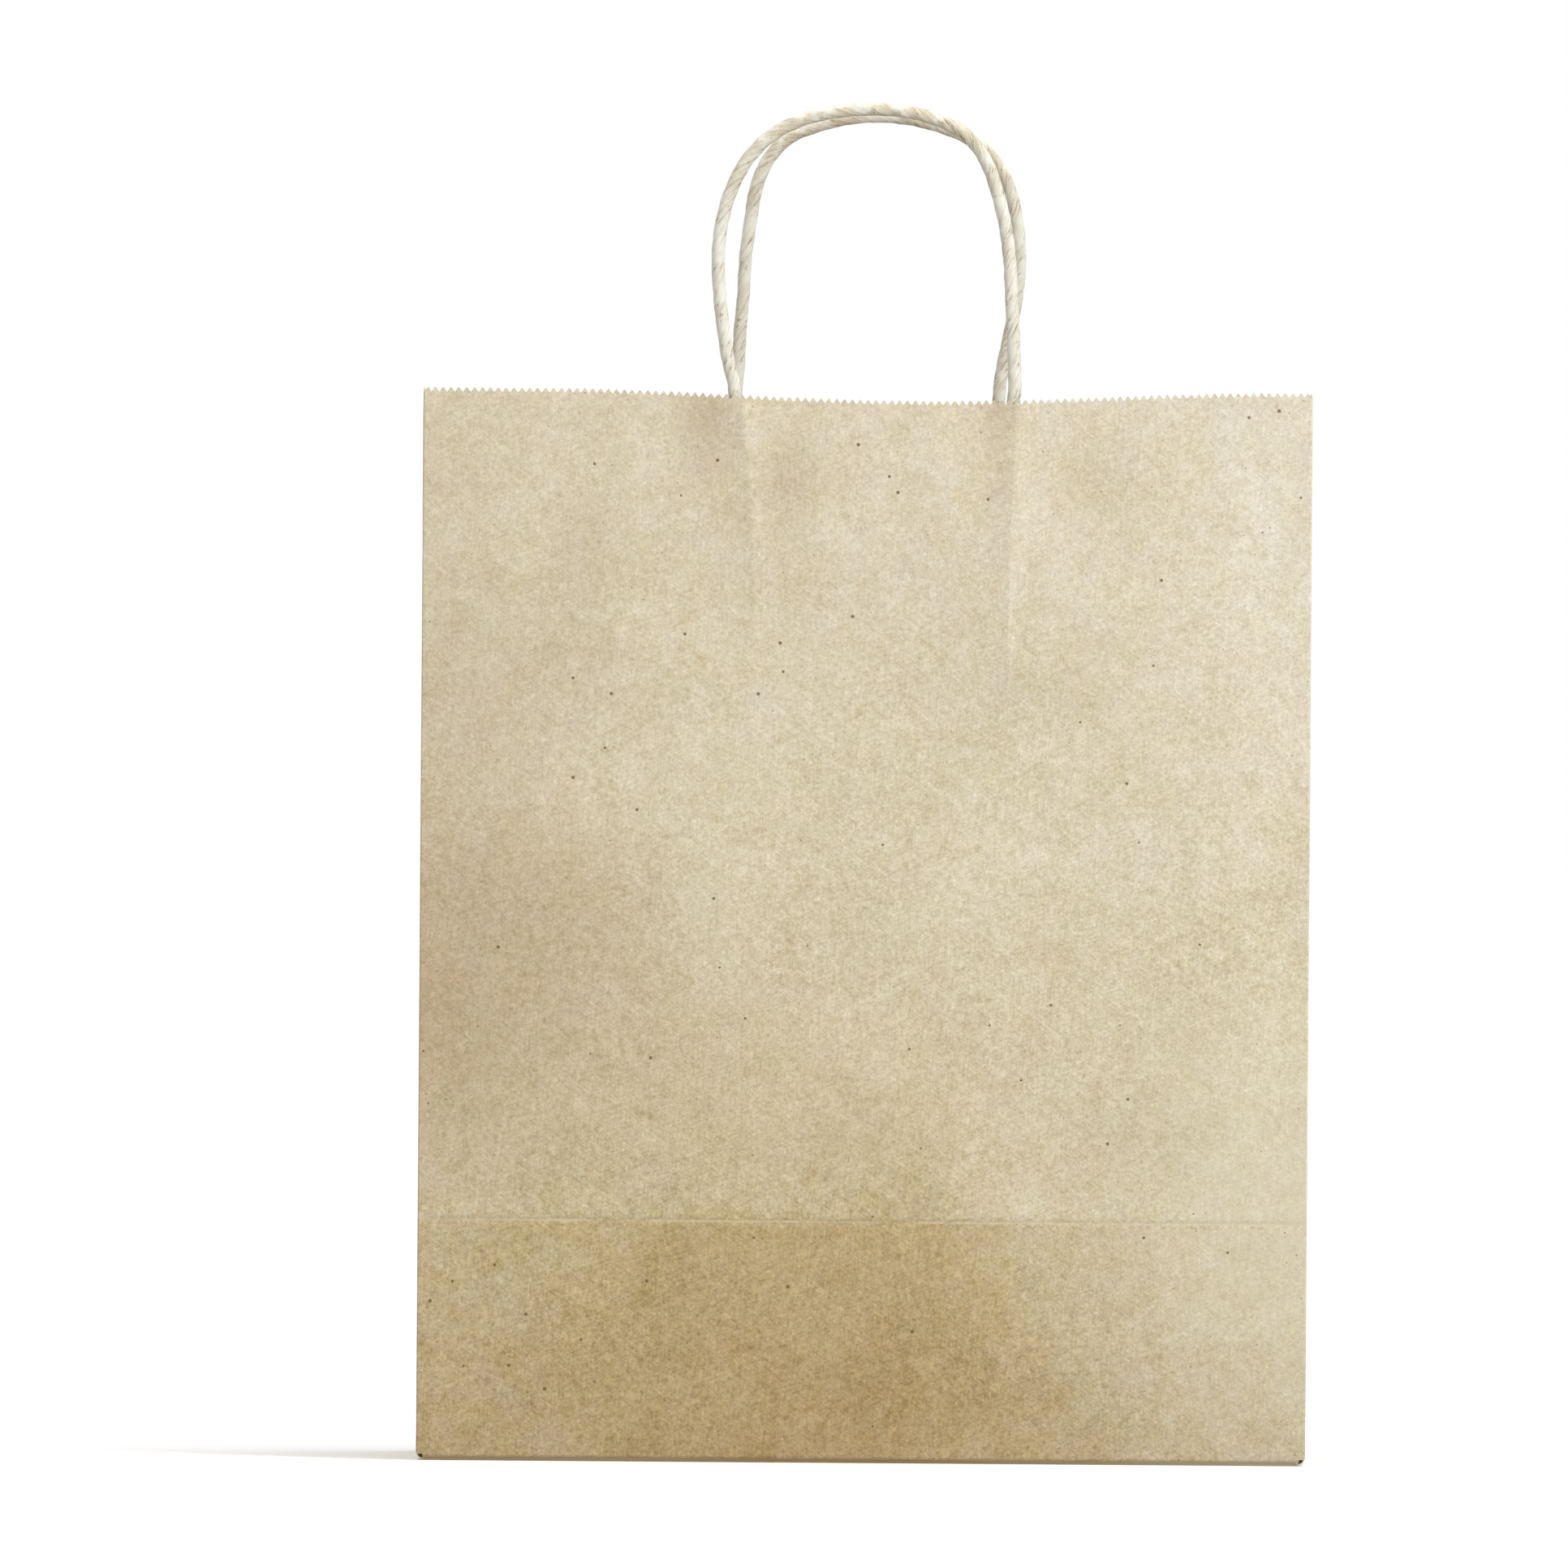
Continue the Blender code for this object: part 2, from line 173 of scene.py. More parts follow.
# Paper tones as 0 to 255 display values.  Ground tones are (height, colour) from the foot up.
# The wall's ground darkens towards the foot and steps darker below the crease: partly painted shade,
# with less light falling lower down, and partly the paper's own tone.
WALL_TONES = [(0.0, (184, 162, 122)), (30 * MM, (191, 170, 130)),
              (CREASE - 0.2 * MM, (199, 180, 141)), (CREASE + 0.2 * MM, (208, 192, 158)),
              (150 * MM, (213, 199, 169)), (250 * MM, (217, 204, 178)), (300 * MM, (218, 205, 180))]
# Painted light across the walls: darker on the left, and lighter and cooler on the right where more
# light falls.
LEFT_PAINTED_SHADE_TINT, RIGHT_PAINTED_LIGHT_TINT = (0.96, 0.945, 0.91), (1.04, 1.06, 1.10)
PATCH_TONES = [(0.0, (205, 187, 152)), (300 * MM, (208, 192, 160))]
# Crease tones: a light tone for the painted highlight where the fold's ridge catches the light, partly
# wear of the fibres, and a dark tone for painted shade under the crease and in the gusset creases.
CREASE_HIGHLIGHT_AND_WEAR_TONE, CREASE_SHADE_TONE = (224, 212, 186), (170, 143, 100)
WARM, COOL = (1.035, 1.0, 0.86), (0.965, 1.0, 1.14)
PINK, GREEN = (1.0, 0.965, 1.0), (1.0, 1.035, 1.0)
LIGHT_FIBRE, DEEP_FIBRE = (1.34, 1.37, 1.45), (0.65, 0.60, 0.49)
# Soft washes of painted shade in the paper: the left side darker, away from the light, the foot darker
# and warmer, partly the paper's own tone too, and small soft shadows near the mouth around the glued
# rope ends and the patch. (x, z, half width, half height, tint), sizes in millimetres
PAINTED_SHADE_WASHES = ((-128, 138, 75, 62, (0.82, 0.75, 0.70)), (-112, 222, 50, 34, (0.91, 0.89, 0.87)),
          (-8, -15, 75, 150, (0.88, 0.80, 0.67)), (-84, 262, 12, 18, (0.93, 0.92, 0.91)),
          (-47, 303, 10, 20, (0.84, 0.80, 0.76)), (-23, 287, 11, 16, (0.88, 0.85, 0.81)),
          (39, 300, 6, 34, (0.90, 0.87, 0.84)), (66, 288, 12, 26, (0.93, 0.91, 0.88)))
PAINTED_LIGHT_WASH, PAINTED_LIGHT_TONE = (150, 60, 100, 80), (220, 209, 183)  # painted light: the paper lighter at the lower right, where more light falls
PAINTED_LIGHT_SHARE = 0.62
WASH_WOBBLE = 9.0 * MM  # how far the blots push the edge of a wash about
# Specks: (spacing, radius, share of cells, seed, tone, strength)
SPECKS = ((10.0 * MM, 0.54 * MM, 0.90, 0.11, (112, 88, 52), 0.85),
          (4.6 * MM, 0.36 * MM, 0.75, 0.37, (142, 116, 78), 0.62),
          (5.0 * MM, 0.32 * MM, 0.70, 0.71, (240, 233, 216), 0.55))
SPECK_LEAST, SPECK_EDGE = 0.45, 0.25  # shares of a speck's radius

# Noise in the paper: (length, detail, roughness, distortion), and the weight of each in the shade
CLOUDS, BLOTS = (46 * MM, 3.0, 0.5, 0.4), (9 * MM, 4.0, 0.6, 0.3)
FLOCKS, GRAIN, FUZZ = (3.6 * MM, 2.0, 0.5, 0.8), (1.5 * MM, 3.0, 0.72, 1.0), (0.75 * MM, 2.0, 0.6, 0.6)
SHADE_WEIGHTS = (0.42, 0.38, 0.26, 0.48, 0.55)  # clouds, blots, flocks, grain and fuzz
STROKE, STROKE_STRETCH = (0.62 * MM, 1.0, 0.5, 0.5), (0.22, 1.0, 1.0)
STROKE_ANGLES, STROKE_WEIGHT = (0.35, 1.45, 2.5), 0.50
WARM_BLOTS, PINK_BLOTS, PINK_SEED = (13 * MM, 4.0, 0.62, 0.2), (11 * MM, 4.0, 0.62, 0.2), 0.53
WARM_WEIGHTS = (0.6, 0.3, 0.4)  # blots, warm blots and clouds
# Changes with height: (from, to, value at from, value at to)
BLOTCHY = (CREASE - 2 * MM, CREASE + 25 * MM, 2.1, 1.0)
EVEN_LOW, EVEN_HIGH = (40 * MM, 110 * MM, 0.70, 0.98), (140 * MM, 280 * MM, 0.0, 0.24)
# Crease lines, a painted highlight along the crease that is partly wear of the fibres, and painted
# shade below it and down the gusset creases: (full within, gone beyond, strength)
CREASE_HIGHLIGHT_AND_WEAR_LINE, CREASE_SHADE_LINE, GUSSET_SHADE_LINE = ((0.15 * MM, 0.55 * MM, 0.5), (0.2 * MM, 0.9 * MM, 0.5),
                                      (0.15 * MM, 0.8 * MM, 0.55))
SIDE_BAND = 2 * MM  # paper this close to a side plane belongs to the side wall
CREASE_SHADE_BELOW = 0.9 * MM  # the painted shade under the crease runs this far below it
PAPER_ROUGHNESS, PAPER_BUMP = (0.80, 0.92), (0.45, 0.10 * MM)

# Cream rope: tones, noise as for the paper, and changes with height
STRAND_PALE, STRAND_DEEP = (243, 240, 227), (224, 216, 197)
# The line tone is partly dust and partly painted shade in the rope's creases; the gap tone is painted
# shade in the gaps between the strands.
HANDLED_TONE, CREASE_DUST_AND_SHADE_TONE, GAP_SHADE_TONE = (214, 201, 174), (158, 134, 98), (140, 116, 82)
ROPE_STREAKS, ROPE_GAP_LINES = (0.16, 4.0, 0.68), (0.45, 1.0, 0.4)
ROPE_PATCHES, ROPE_GRAIN = (7 * MM, 3.0, 0.6), (0.5 * MM, 3.0, 0.7)
HANDLED, CREASE_DUST_AND_SHADE_HEIGHTS = (358 * MM, 390 * MM, 0.10, 0.85), (350 * MM, 385 * MM, 0.50, 0.85)
GAP_SHADE_LINE = (0.005, 0.028, 0.80)
ROPE_ROUGHNESS, ROPE_BUMP = (0.66, 0.86), (0.6, 0.25 * MM)

# Centre lines of the handles above the mouth, and of their glued ends, (x, z) in millimetres,
# the same as in the CAD
FRONT_HANDLE_ROUTE = [
    (-39.1, 312.6), (-39.4, 315.5), (-40.9, 321.0), (-42.4, 330.0), (-43.6, 340.0),
    (-44.2, 350.5), (-43.4, 361.0), (-40.5, 371.5), (-35.4, 381.0), (-28.2, 388.0),
    (-18.5, 392.6), (-7.5, 394.9), (2.5, 395.4), (12.5, 394.4), (21.5, 391.6),
    (28.5, 387.6), (34.0, 380.5), (37.4, 371.0), (39.8, 361.0), (41.2, 350.5),
    (41.8, 340.0), (42.4, 328.0), (42.7, 318.0), (42.7, 312.6),
]
BACK_HANDLE_ROUTE = [
    (-38.9, 312.6), (-38.7, 316.0), (-38.2, 322.0), (-37.8, 332.0), (-37.0, 342.0),
    (-36.4, 353.0), (-35.0, 364.0), (-33.4, 374.5), (-29.8, 383.0), (-23.8, 389.5),
    (-16.0, 392.8), (-6.5, 395.2), (4.0, 396.0), (14.5, 394.8), (24.5, 391.9),
    (32.5, 387.8), (38.6, 381.2), (42.4, 372.5), (44.4, 362.0), (44.9, 351.5),
    (43.8, 341.0), (41.8, 330.5), (40.0, 321.5), (39.2, 316.0), (39.1, 312.6),
]
LEFT_END_ROUTE = [(-39.0, 312.0), (-36.8, 293.0), (-35.2, 270.0), (-34.0, 229.0)]
FRONT_RIGHT_END_ROUTE = [(42.7, 312.0), (40.9, 293.0), (40.0, 268.0), (39.6, 229.0)]
BACK_RIGHT_END_ROUTE = [(39.1, 312.0), (39.3, 293.0), (39.4, 268.0), (39.4, 229.0)]


# ---- small helpers

def smooth(value):
    """Smooth step from 0 at value 0 to 1 at value 1."""
    value = min(1.0, max(0.0, value))
    return value * value * (3 - 2 * value)


def bell(distance, width):
    """1 at distance 0, falling off on both sides over width."""
    return math.exp(-(distance / width) ** 2)


def wander(point, size, seed=0.0):
    """Smooth noise between about -1 and 1 that varies over the length size."""
    return noise.noise(Vector(point) / size + Vector((seed, 3.1 * seed, 7.7 * seed)))


def linear(red, green, blue):
    """Linear RGBA colour from 0 to 255 display values."""
    def channel(value):
        """One channel of the sRGB curve."""
        value /= 255
        return value / 12.92 if value <= 0.04045 else ((value + 0.055) / 1.055) ** 2.4
    return channel(red), channel(green), channel(blue), 1.0


def spaced(low, high, step, windows=()):
    """Values from low to high, step apart, and FINE_STEP apart inside each (from, to) window."""
    values = list(np.linspace(low, high, max(2, round((high - low) / step) + 1)))
    for start, end in windows:
        start, end = max(low, start), min(high, end)
        values = [v for v in values if not start - FINE_STEP / 2 < v < end + FINE_STEP / 2]
        values += list(np.linspace(start, end, max(2, round((end - start) / FINE_STEP) + 1)))
    return sorted(set(values) | {low, high})


def linked(name, data):
    """A new object in the scene."""
    thing = bpy.data.objects.new(name, data)
    bpy.context.collection.objects.link(thing)
    return thing


# ---- paper relief

def end_x(route, z):
    """Where a glued rope end is at height z."""
    heights = [point[1] * MM for point in reversed(route)]
    return float(np.interp(z, heights, [point[0] * MM for point in reversed(route)]))


def rope_ridges(x, z, routes):
    """Height of the panel over the glued rope ends behind it."""
    lift = 0.0
    for route, loss in zip(routes, RIDGE_LOSS):
        bottom = route[-1][1] * MM
        tail = smooth((z - bottom + RIDGE_TAIL) / RIDGE_TAIL_REACH)
        kept = 1.0 - loss * smooth((RIDGE_LOSS_FROM - z) / RIDGE_LOSS_REACH)
        away = x - end_x(route, z) - RIDGE_CREST
        slope = math.exp(-abs(away) / (RIDGE_RIGHT if away > 0 else RIDGE_LEFT))
        lift += RIDGE_HEIGHT * kept * tail * slope
    return lift


def patch_emboss(x, z):
    """The glued patch behind the panel prints through as a low plateau."""
    inside = min(x - PATCH_LOW.x, PATCH_HIGH.x - x, z - PATCH_LOW.z)
    return PATCH_STEP * smooth(0.5 + inside / PATCH_EDGE)


def cockles(point):
    """Broad and middling waves of a paper sheet that has been folded and opened."""
    return COCKLE * sum(share * wander(point, size, seed)
                        for seed, (size, share) in enumerate(COCKLE_WAVES, 1))


def creased(z):
    """Groove of the crease all round the bag."""
    return -CREASE_GROOVE * bell(z - CREASE, CREASE_GROOVE_WIDTH)


def wide_relief(y, routes):
    """Relief of the front or back panel: it starts at the fold at the panel's foot."""
    low_fold = CREASE + HINGE_HALF if y > 0 else 0.0

    def relief(x, z):
        """Height of the panel at (x, z) above its flat sheet."""
        fade = smooth((FOLD_X - abs(x)) / FADE_REACH)
        foot = smooth((z - low_fold) / FADE_REACH)
        off_crease = smooth(abs(z - CREASE) / CREASE_CALM_REACH)
        waves = cockles((x, y, z)) * (CREASE_CALM + (1 - CREASE_CALM) * off_crease)
        ripple = (STREAK * noise.noise(Vector((x / STREAK_WIDTH, y, z / STREAK_LENGTH)))
                  * smooth((z - STREAK_FROM) / STREAK_REACH))
        bow = BOW * math.sin(math.pi * min(1.0, z / FRONT_HIGH.z))
        shaped = fade * foot * (bow + waves + ripple)
        edge_fade = smooth((FOLD_X - abs(x)) / EDGE_REACH)
        return shaped + edge_fade * (foot * creased(z) + rope_ridges(x, z, routes)
                                     + patch_emboss(x, z))
    return relief


def side_relief(x):
    """Relief of a gusset: it dies out at the corners and at the middle crease."""
    def relief(y, z):
        """Height of the gusset at (y, z) above its flat sheet."""
        fade = smooth((FOLD_Y - abs(y)) / FADE_REACH) * smooth(abs(y) / MIDDLE_CALM_REACH)
        above = smooth(abs(z - CREASE) / SIDE_CALM_REACH) if z > CREASE else 0.0
        return SIDE_COCKLE * fade * above * cockles((x, y, z))
    return relief


def flat_relief(along, across):
    """No relief at all."""
    return 0.0


# ---- sheet meshes

def sheet_place(base, along, across, outward, start, end, radius, relief):
    """place(s, t, depth): a sheet that is flat from start to end and turns a corner beyond."""
    def place(s, t, depth):
        """The point at (s, t) on the sheet, depth below its outer side."""
        flat = min(max(s, start), end)
        turn = (s - flat) / radius
        left = radius - depth
        point = base + along * flat + across * t - outward * radius
        point += outward * (left * math.cos(turn)) + along * (left * math.sin(turn))
        return point + outward * relief(s, t)
    return place


def swapped(place):
    """The same sheet with its rows and columns exchanged."""
    return lambda s, t, depth: place(t, s, depth)


def tooth_outline(node, axis):
    """Roots and tips (s, z) of a CAD node's toothed top, with s along world axis 0 or 1."""
    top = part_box(node)[1].z
    corners = {(round(v.co[axis], 6), round(v.co.z, 6))
               for v in frame["nodes"][node].data.vertices if v.co.z > top - TOOTH_BAND}
    outline = sorted(corners)
    return outline[0::2], outline[1::2]


def tooth_shape(share):
    """Height of a tooth, 0 to 1, at a share of its width: a rounded zigzag."""
    peak = 1 - abs(2 * share - 1)
    wave = 0.5 - 0.5 * math.cos(2 * math.pi * share)
    return ZIGZAG_SHARE * peak + (1 - ZIGZAG_SHARE) * wave


def grid_layout(rows, columns_at, height_at=lambda t, s: t):
    """Spots (s, t) and quads of a sheet, and its top row as spot numbers."""
    spots, faces = [], []
    for t in rows:
        spots += [(s, height_at(t, s)) for s in columns_at(t)]
    count = len(columns_at(rows[0]))
    for row in range(len(rows) - 1):
        for column in range(count - 1):
            corner = row * count + column
            faces.append((corner, corner + 1, corner + 1 + count, corner + count))
    return spots, faces, list(range(len(spots) - count, len(spots)))


def add_teeth(spots, faces, top_row, roots, tips, root_height):
    """One rounded face for every tooth, standing on the sheet's top row."""
    first, last = spots[top_row[0]][0], spots[top_row[-1]][0]
    for index, (tip_s, tip_z) in enumerate(tips):
        start, end = max(roots[index][0], first), min(roots[index + 1][0], last)
        foot = [spot for spot in top_row if start - NEAR <= spots[spot][0] <= end + NEAR]
        if len(foot) < 2:
            continue
        wear = 1 + TOOTH_WEAR * wander((index * WEAR_PACE, 0, 0), 1.0, 5.0 + tip_z)
        lean = TOOTH_LEAN * wander((index * LEAN_PACE, 1, 0), 1.0, 9.0 + tip_z)
        crown = []
        for sample in range(1, TOOTH_SAMPLES):
            share = sample / TOOTH_SAMPLES
            s = start + (end - start) * share
            leaning = min(1.0, max(0.0, share + lean * math.sin(math.pi * share)))
            rise = (tip_z - root_height(tip_s)) * wear * tooth_shape(leaning)
            crown.append(len(spots))
            spots.append((s, root_height(s) + rise))
        faces.append(tuple(foot + crown[::-1]))


def paper_piece(name, spots, faces, place, material):
    """A closed thin shell: the layout's outer side, its inner side and the cut edge."""
    outer = [place(s, t, 0.0) for s, t in spots]
    inner = [place(s, t, PAPER) for s, t in spots]
    count = len(spots)
    directed = {edge for face in faces for edge in zip(face, face[1:] + face[:1])}
    rim = [(b, a, a + count, b + count) for a, b in directed if (b, a) not in directed]
    under = [tuple(spot + count for spot in reversed(face)) for face in faces]
    mesh = bpy.data.meshes.new(name)
    mesh.from_pydata(outer + inner, [], faces + under + sorted(rim))
    return finish_piece(name, mesh, material)


def finish_piece(name, mesh, material):
    """Consistent normals, smooth shading, and each point's rest place for the materials."""
    shape = bmesh.new()
    shape.from_mesh(mesh)
    bmesh.ops.recalc_face_normals(shape, faces=shape.faces)
    shape.to_mesh(mesh)
    shape.free()
    mesh.shade_smooth()
    mesh.set_sharp_from_angle(angle=SMOOTH_ANGLE)
    places = np.empty(len(mesh.vertices) * 3, np.float32)
    mesh.vertices.foreach_get("co", places)
    rest = mesh.attributes.new("rest", "FLOAT_VECTOR", "POINT")
    rest.data.foreach_set("vector", places)
    mesh.materials.append(material)
    piece = linked(name, mesh)
    return piece


def grid_piece(name, rows, columns_at, place, material):
    """A sheet with straight rows and no teeth."""
    spots, faces, _ = grid_layout(rows, columns_at)
    return paper_piece(name, spots, faces, place, material)


# ---- materials

def join(value, socket):
    """Gives a socket a constant, or the output of another node."""
    if isinstance(value, bpy.types.NodeSocket):
        socket.id_data.links.new(value, socket)
    else:
        socket.default_value = value


def feed(node, **values):
    """Sets or joins a node's inputs by name."""
    for key, value in values.items():
        join(value, node.inputs[key.replace("_", " ")])


def add(near, kind, **settings):
    """A new shader node in the same tree as near; settings are its attributes or its inputs."""
    node = near.id_data.nodes.new("ShaderNode" + kind)
    for key, value in settings.items():
        if hasattr(node, key):
            setattr(node, key, value)
        else:
            feed(node, **{key: value})
    return node


def calc(operation, *operands, kind="Math"):
    """A Math node's output; each operand is a constant or another node's output."""
    node = add(operands[0], kind, operation=operation)
    for socket, operand in zip(node.inputs, operands):
        join(operand, socket)
    return node.outputs[0]


def times(first, second):
    """The product of two values."""
    return calc("MULTIPLY", first, second)


def plus(first, second):
    """The sum of two values."""
    return calc("ADD", first, second)


def minus(first, second):
    """The difference of two values."""
    return calc("SUBTRACT", first, second)


def weighted(layers):
    """The sum of (value, weight) layers."""
    (value, weight), *others = layers
    total = times(value, weight)
    for value, weight in others:
        total = calc("MULTIPLY_ADD", value, weight, total)
    return total


def noise_value(where, size, detail, roughness, distortion=0.0):
    """Noise, about 0.5 on average, that varies over the length size."""
    return add(where, "TexNoise", Vector=where, Scale=1 / size, Detail=detail,
               Roughness=roughness, Distortion=distortion).outputs["Fac"]


def remap(value, low, high, to_low=0.0, to_high=1.0, soft=True):
    """Map a value from low..high to another range, clamped."""
    return add(value, "MapRange", clamp=True, interpolation_type="SMOOTHSTEP" if soft else "LINEAR",
               Value=value, From_Min=low, From_Max=high, To_Min=to_low,
               To_Max=to_high).outputs["Result"]


def tinted(colour, tint):
    """A colour multiplied by a constant tint."""
    return calc("MULTIPLY", colour, tint, kind="VectorMath")


def mixed(share, first, second):
    """Mix of two colours; each is a constant or another node's output."""
    node = add(share, "Mix", data_type="RGBA")
    for index, value in ((0, share), (6, first), (7, second)):
        join(value, node.inputs[index])
    return node.outputs[2]


def painted(colour, share, tone):
    """The colour with a 0 to 255 tone laid over it by a share."""
    return mixed(share, colour, linear(*tone))


def between(share, colour, first, second):
    """The colour under one tint at share 0 and under another at share 1."""
    return mixed(share, tinted(colour, first), tinted(colour, second))


def new_material(name):
    """A Principled material and its shader."""
    material = bpy.data.materials.new(name)
    material.use_nodes = True
    return material, material.node_tree.nodes["Principled BSDF"]


def stored(near, name, output="Vector"):
    """What a mesh attribute holds."""
    return add(near, "Attribute", attribute_name=name).outputs[output]


def shifted(where, seed):
    """Coordinates moved aside, so that a second pattern differs from the first."""
    return calc("ADD", where, (seed, 1.7 * seed, 0.6 * seed), kind="VectorMath")


def speck_mask(where, spacing, radius, share, seed):
    """1 inside round specks: this share of the cells holds a speck of about this radius."""
    cells = add(where, "TexVoronoi", Vector=shifted(where, seed), Scale=1 / spacing)
    split = add(where, "SeparateColor", Color=cells.outputs["Color"])
    chosen = calc("LESS_THAN", split.outputs[0], share)
    radius /= spacing
    size = calc("MULTIPLY_ADD", split.outputs[1], radius, SPECK_LEAST * radius)
    edge = minus(size, cells.outputs["Distance"])
    return times(remap(edge, 0.0, SPECK_EDGE * radius), chosen)


def kraft_tone(where, stops):
    """Ground colour by height, with painted shade on the left and painted light on the right, and the
    split coordinates: stops are (height, colour).
    """
    split = add(where, "SeparateXYZ", Vector=where)
    share = remap(split.outputs["Z"], 0.0, FRONT_HIGH.z, soft=False)
    side = remap(split.outputs["X"], -HALF_W, HALF_W, soft=False)
    ramp = add(where, "ValToRGB", Fac=share)
    elements = ramp.color_ramp.elements
    while len(elements) < len(stops):
        elements.new(1.0)
    for element, (height, colour) in zip(elements, stops):
        element.position = height / FRONT_HIGH.z
        element.color = linear(*colour)
    # painted light: the left side darker and the right side lighter
    return between(side, ramp.outputs[0], LEFT_PAINTED_SHADE_TINT, RIGHT_PAINTED_LIGHT_TINT), split


def wash_share(split, blots, *place):
    """1 in the middle of a soft wash, falling to 0 at its edge, which the blots push about."""
    x, z, wide, high = (size * MM for size in place)
    across = times(minus(split.outputs["X"], x), 1 / wide)
    up = times(minus(split.outputs["Z"], z), 1 / high)
    squares = plus(calc("POWER", across, 2.0), calc("POWER", up, 2.0))
    reach = calc("SQRT", squares)
    wobble = times(minus(blots, 0.5), WASH_WOBBLE / wide)
    return remap(plus(reach, wobble), 0.0, 1.3, 1.0, 0.0)


def add_painted_shade_washes(split, blots, colour):
    """The colour under all the soft washes of painted shade."""
    for *place, tint in PAINTED_SHADE_WASHES:
        share = wash_share(split, blots, *place)
        colour = mixed(share, colour, tinted(colour, tint))
    return colour


def line_share(away, full_within, gone_beyond, strength):
    """Strength of a soft line at a signed distance from its middle."""
    distance = calc("ABSOLUTE", away)
    return remap(distance, full_within, gone_beyond, strength, 0.0)


def gusset_crease_shade(split, blots):
    """Painted shade: a dark line down the middle crease of the folding side walls, where the crease
    lies in shade.
    """
    on_side = calc("ABSOLUTE", split.outputs["X"])
    on_side = calc("GREATER_THAN", on_side, HALF_W - SIDE_BAND)
    line = times(line_share(split.outputs["Y"], *GUSSET_SHADE_LINE), on_side)
    return times(line, remap(blots, 0.30, 0.62, 0.35, 1.0))


def strokes(where, angle):
    """Noise drawn out into short fibres that lie at an angle in the wide panels."""
    turned = add(where, "VectorRotate", rotation_type="Y_AXIS", Vector=where, Angle=angle)
    return noise_value(tinted(turned.outputs[0], STROKE_STRETCH), *STROKE)


def hued(where, height, colour, clouds, blots):
    """The colour in warm, cool, pink and green blots, strongest below the crease."""
    warm_blots = noise_value(where, *WARM_BLOTS)
    broad = weighted(zip((blots, warm_blots, clouds), WARM_WEIGHTS))
    middle = minus(broad, sum(WARM_WEIGHTS) / 2)
    warmth = plus(times(middle, remap(height, *BLOTCHY)), 0.5)
    colour = between(warmth, colour, COOL, WARM)
    redness = noise_value(shifted(where, PINK_SEED), *PINK_BLOTS)
    return between(redness, colour, GREEN, PINK)


def fibrous(where, height, colour, clouds, blots, grain, fuzz):
    """The colour shaded by all the layers of pulp and by short crossing fibres."""
    layers = [clouds, blots, noise_value(where, *FLOCKS), grain, fuzz]
    layers += [strokes(where, angle) for angle in STROKE_ANGLES]
    weights = [*SHADE_WEIGHTS] + [STROKE_WEIGHT] * len(STROKE_ANGLES)
    shade = weighted(zip(layers, weights))
    middle = minus(shade, sum(weights) / 2)
    evenness = plus(remap(height, *EVEN_LOW), remap(height, *EVEN_HIGH))
    darkness = plus(calc("DIVIDE", middle, evenness), 0.5)
    return between(darkness, colour, LIGHT_FIBRE, DEEP_FIBRE)


def crease_light_and_shade(split, colour, blots, grain):
    """The colour with a painted highlight along the crease, partly wear, painted shade just below it
    and painted shade down the gusset creases.
    """
    away = minus(split.outputs["Z"], CREASE)
    # painted highlight along the crease, partly wear of the fibres
    highlight_and_wear = times(line_share(away, *CREASE_HIGHLIGHT_AND_WEAR_LINE), remap(blots, 0.35, 0.6))
    colour = painted(colour, highlight_and_wear, CREASE_HIGHLIGHT_AND_WEAR_TONE)
    # painted shade just below the crease, broken up by the grain
    below = plus(away, CREASE_SHADE_BELOW)
    shade_below_crease = times(line_share(below, *CREASE_SHADE_LINE), remap(grain, 0.45, 0.62))
    colour = painted(colour, shade_below_crease, CREASE_SHADE_TONE)
    # painted shade down the gusset creases
    return painted(colour, gusset_crease_shade(split, blots), CREASE_SHADE_TONE)


def surface(shader, colour, roughness, relief, bump, **shine):
    """Joins colour, roughness and fine relief to the shader; bump is (strength, depth)."""
    bumps = add(shader, "Bump", Strength=bump[0], Distance=bump[1], Height=relief)
    feed(shader, Base_Color=colour, Roughness=roughness, Normal=bumps.outputs[0], **shine)


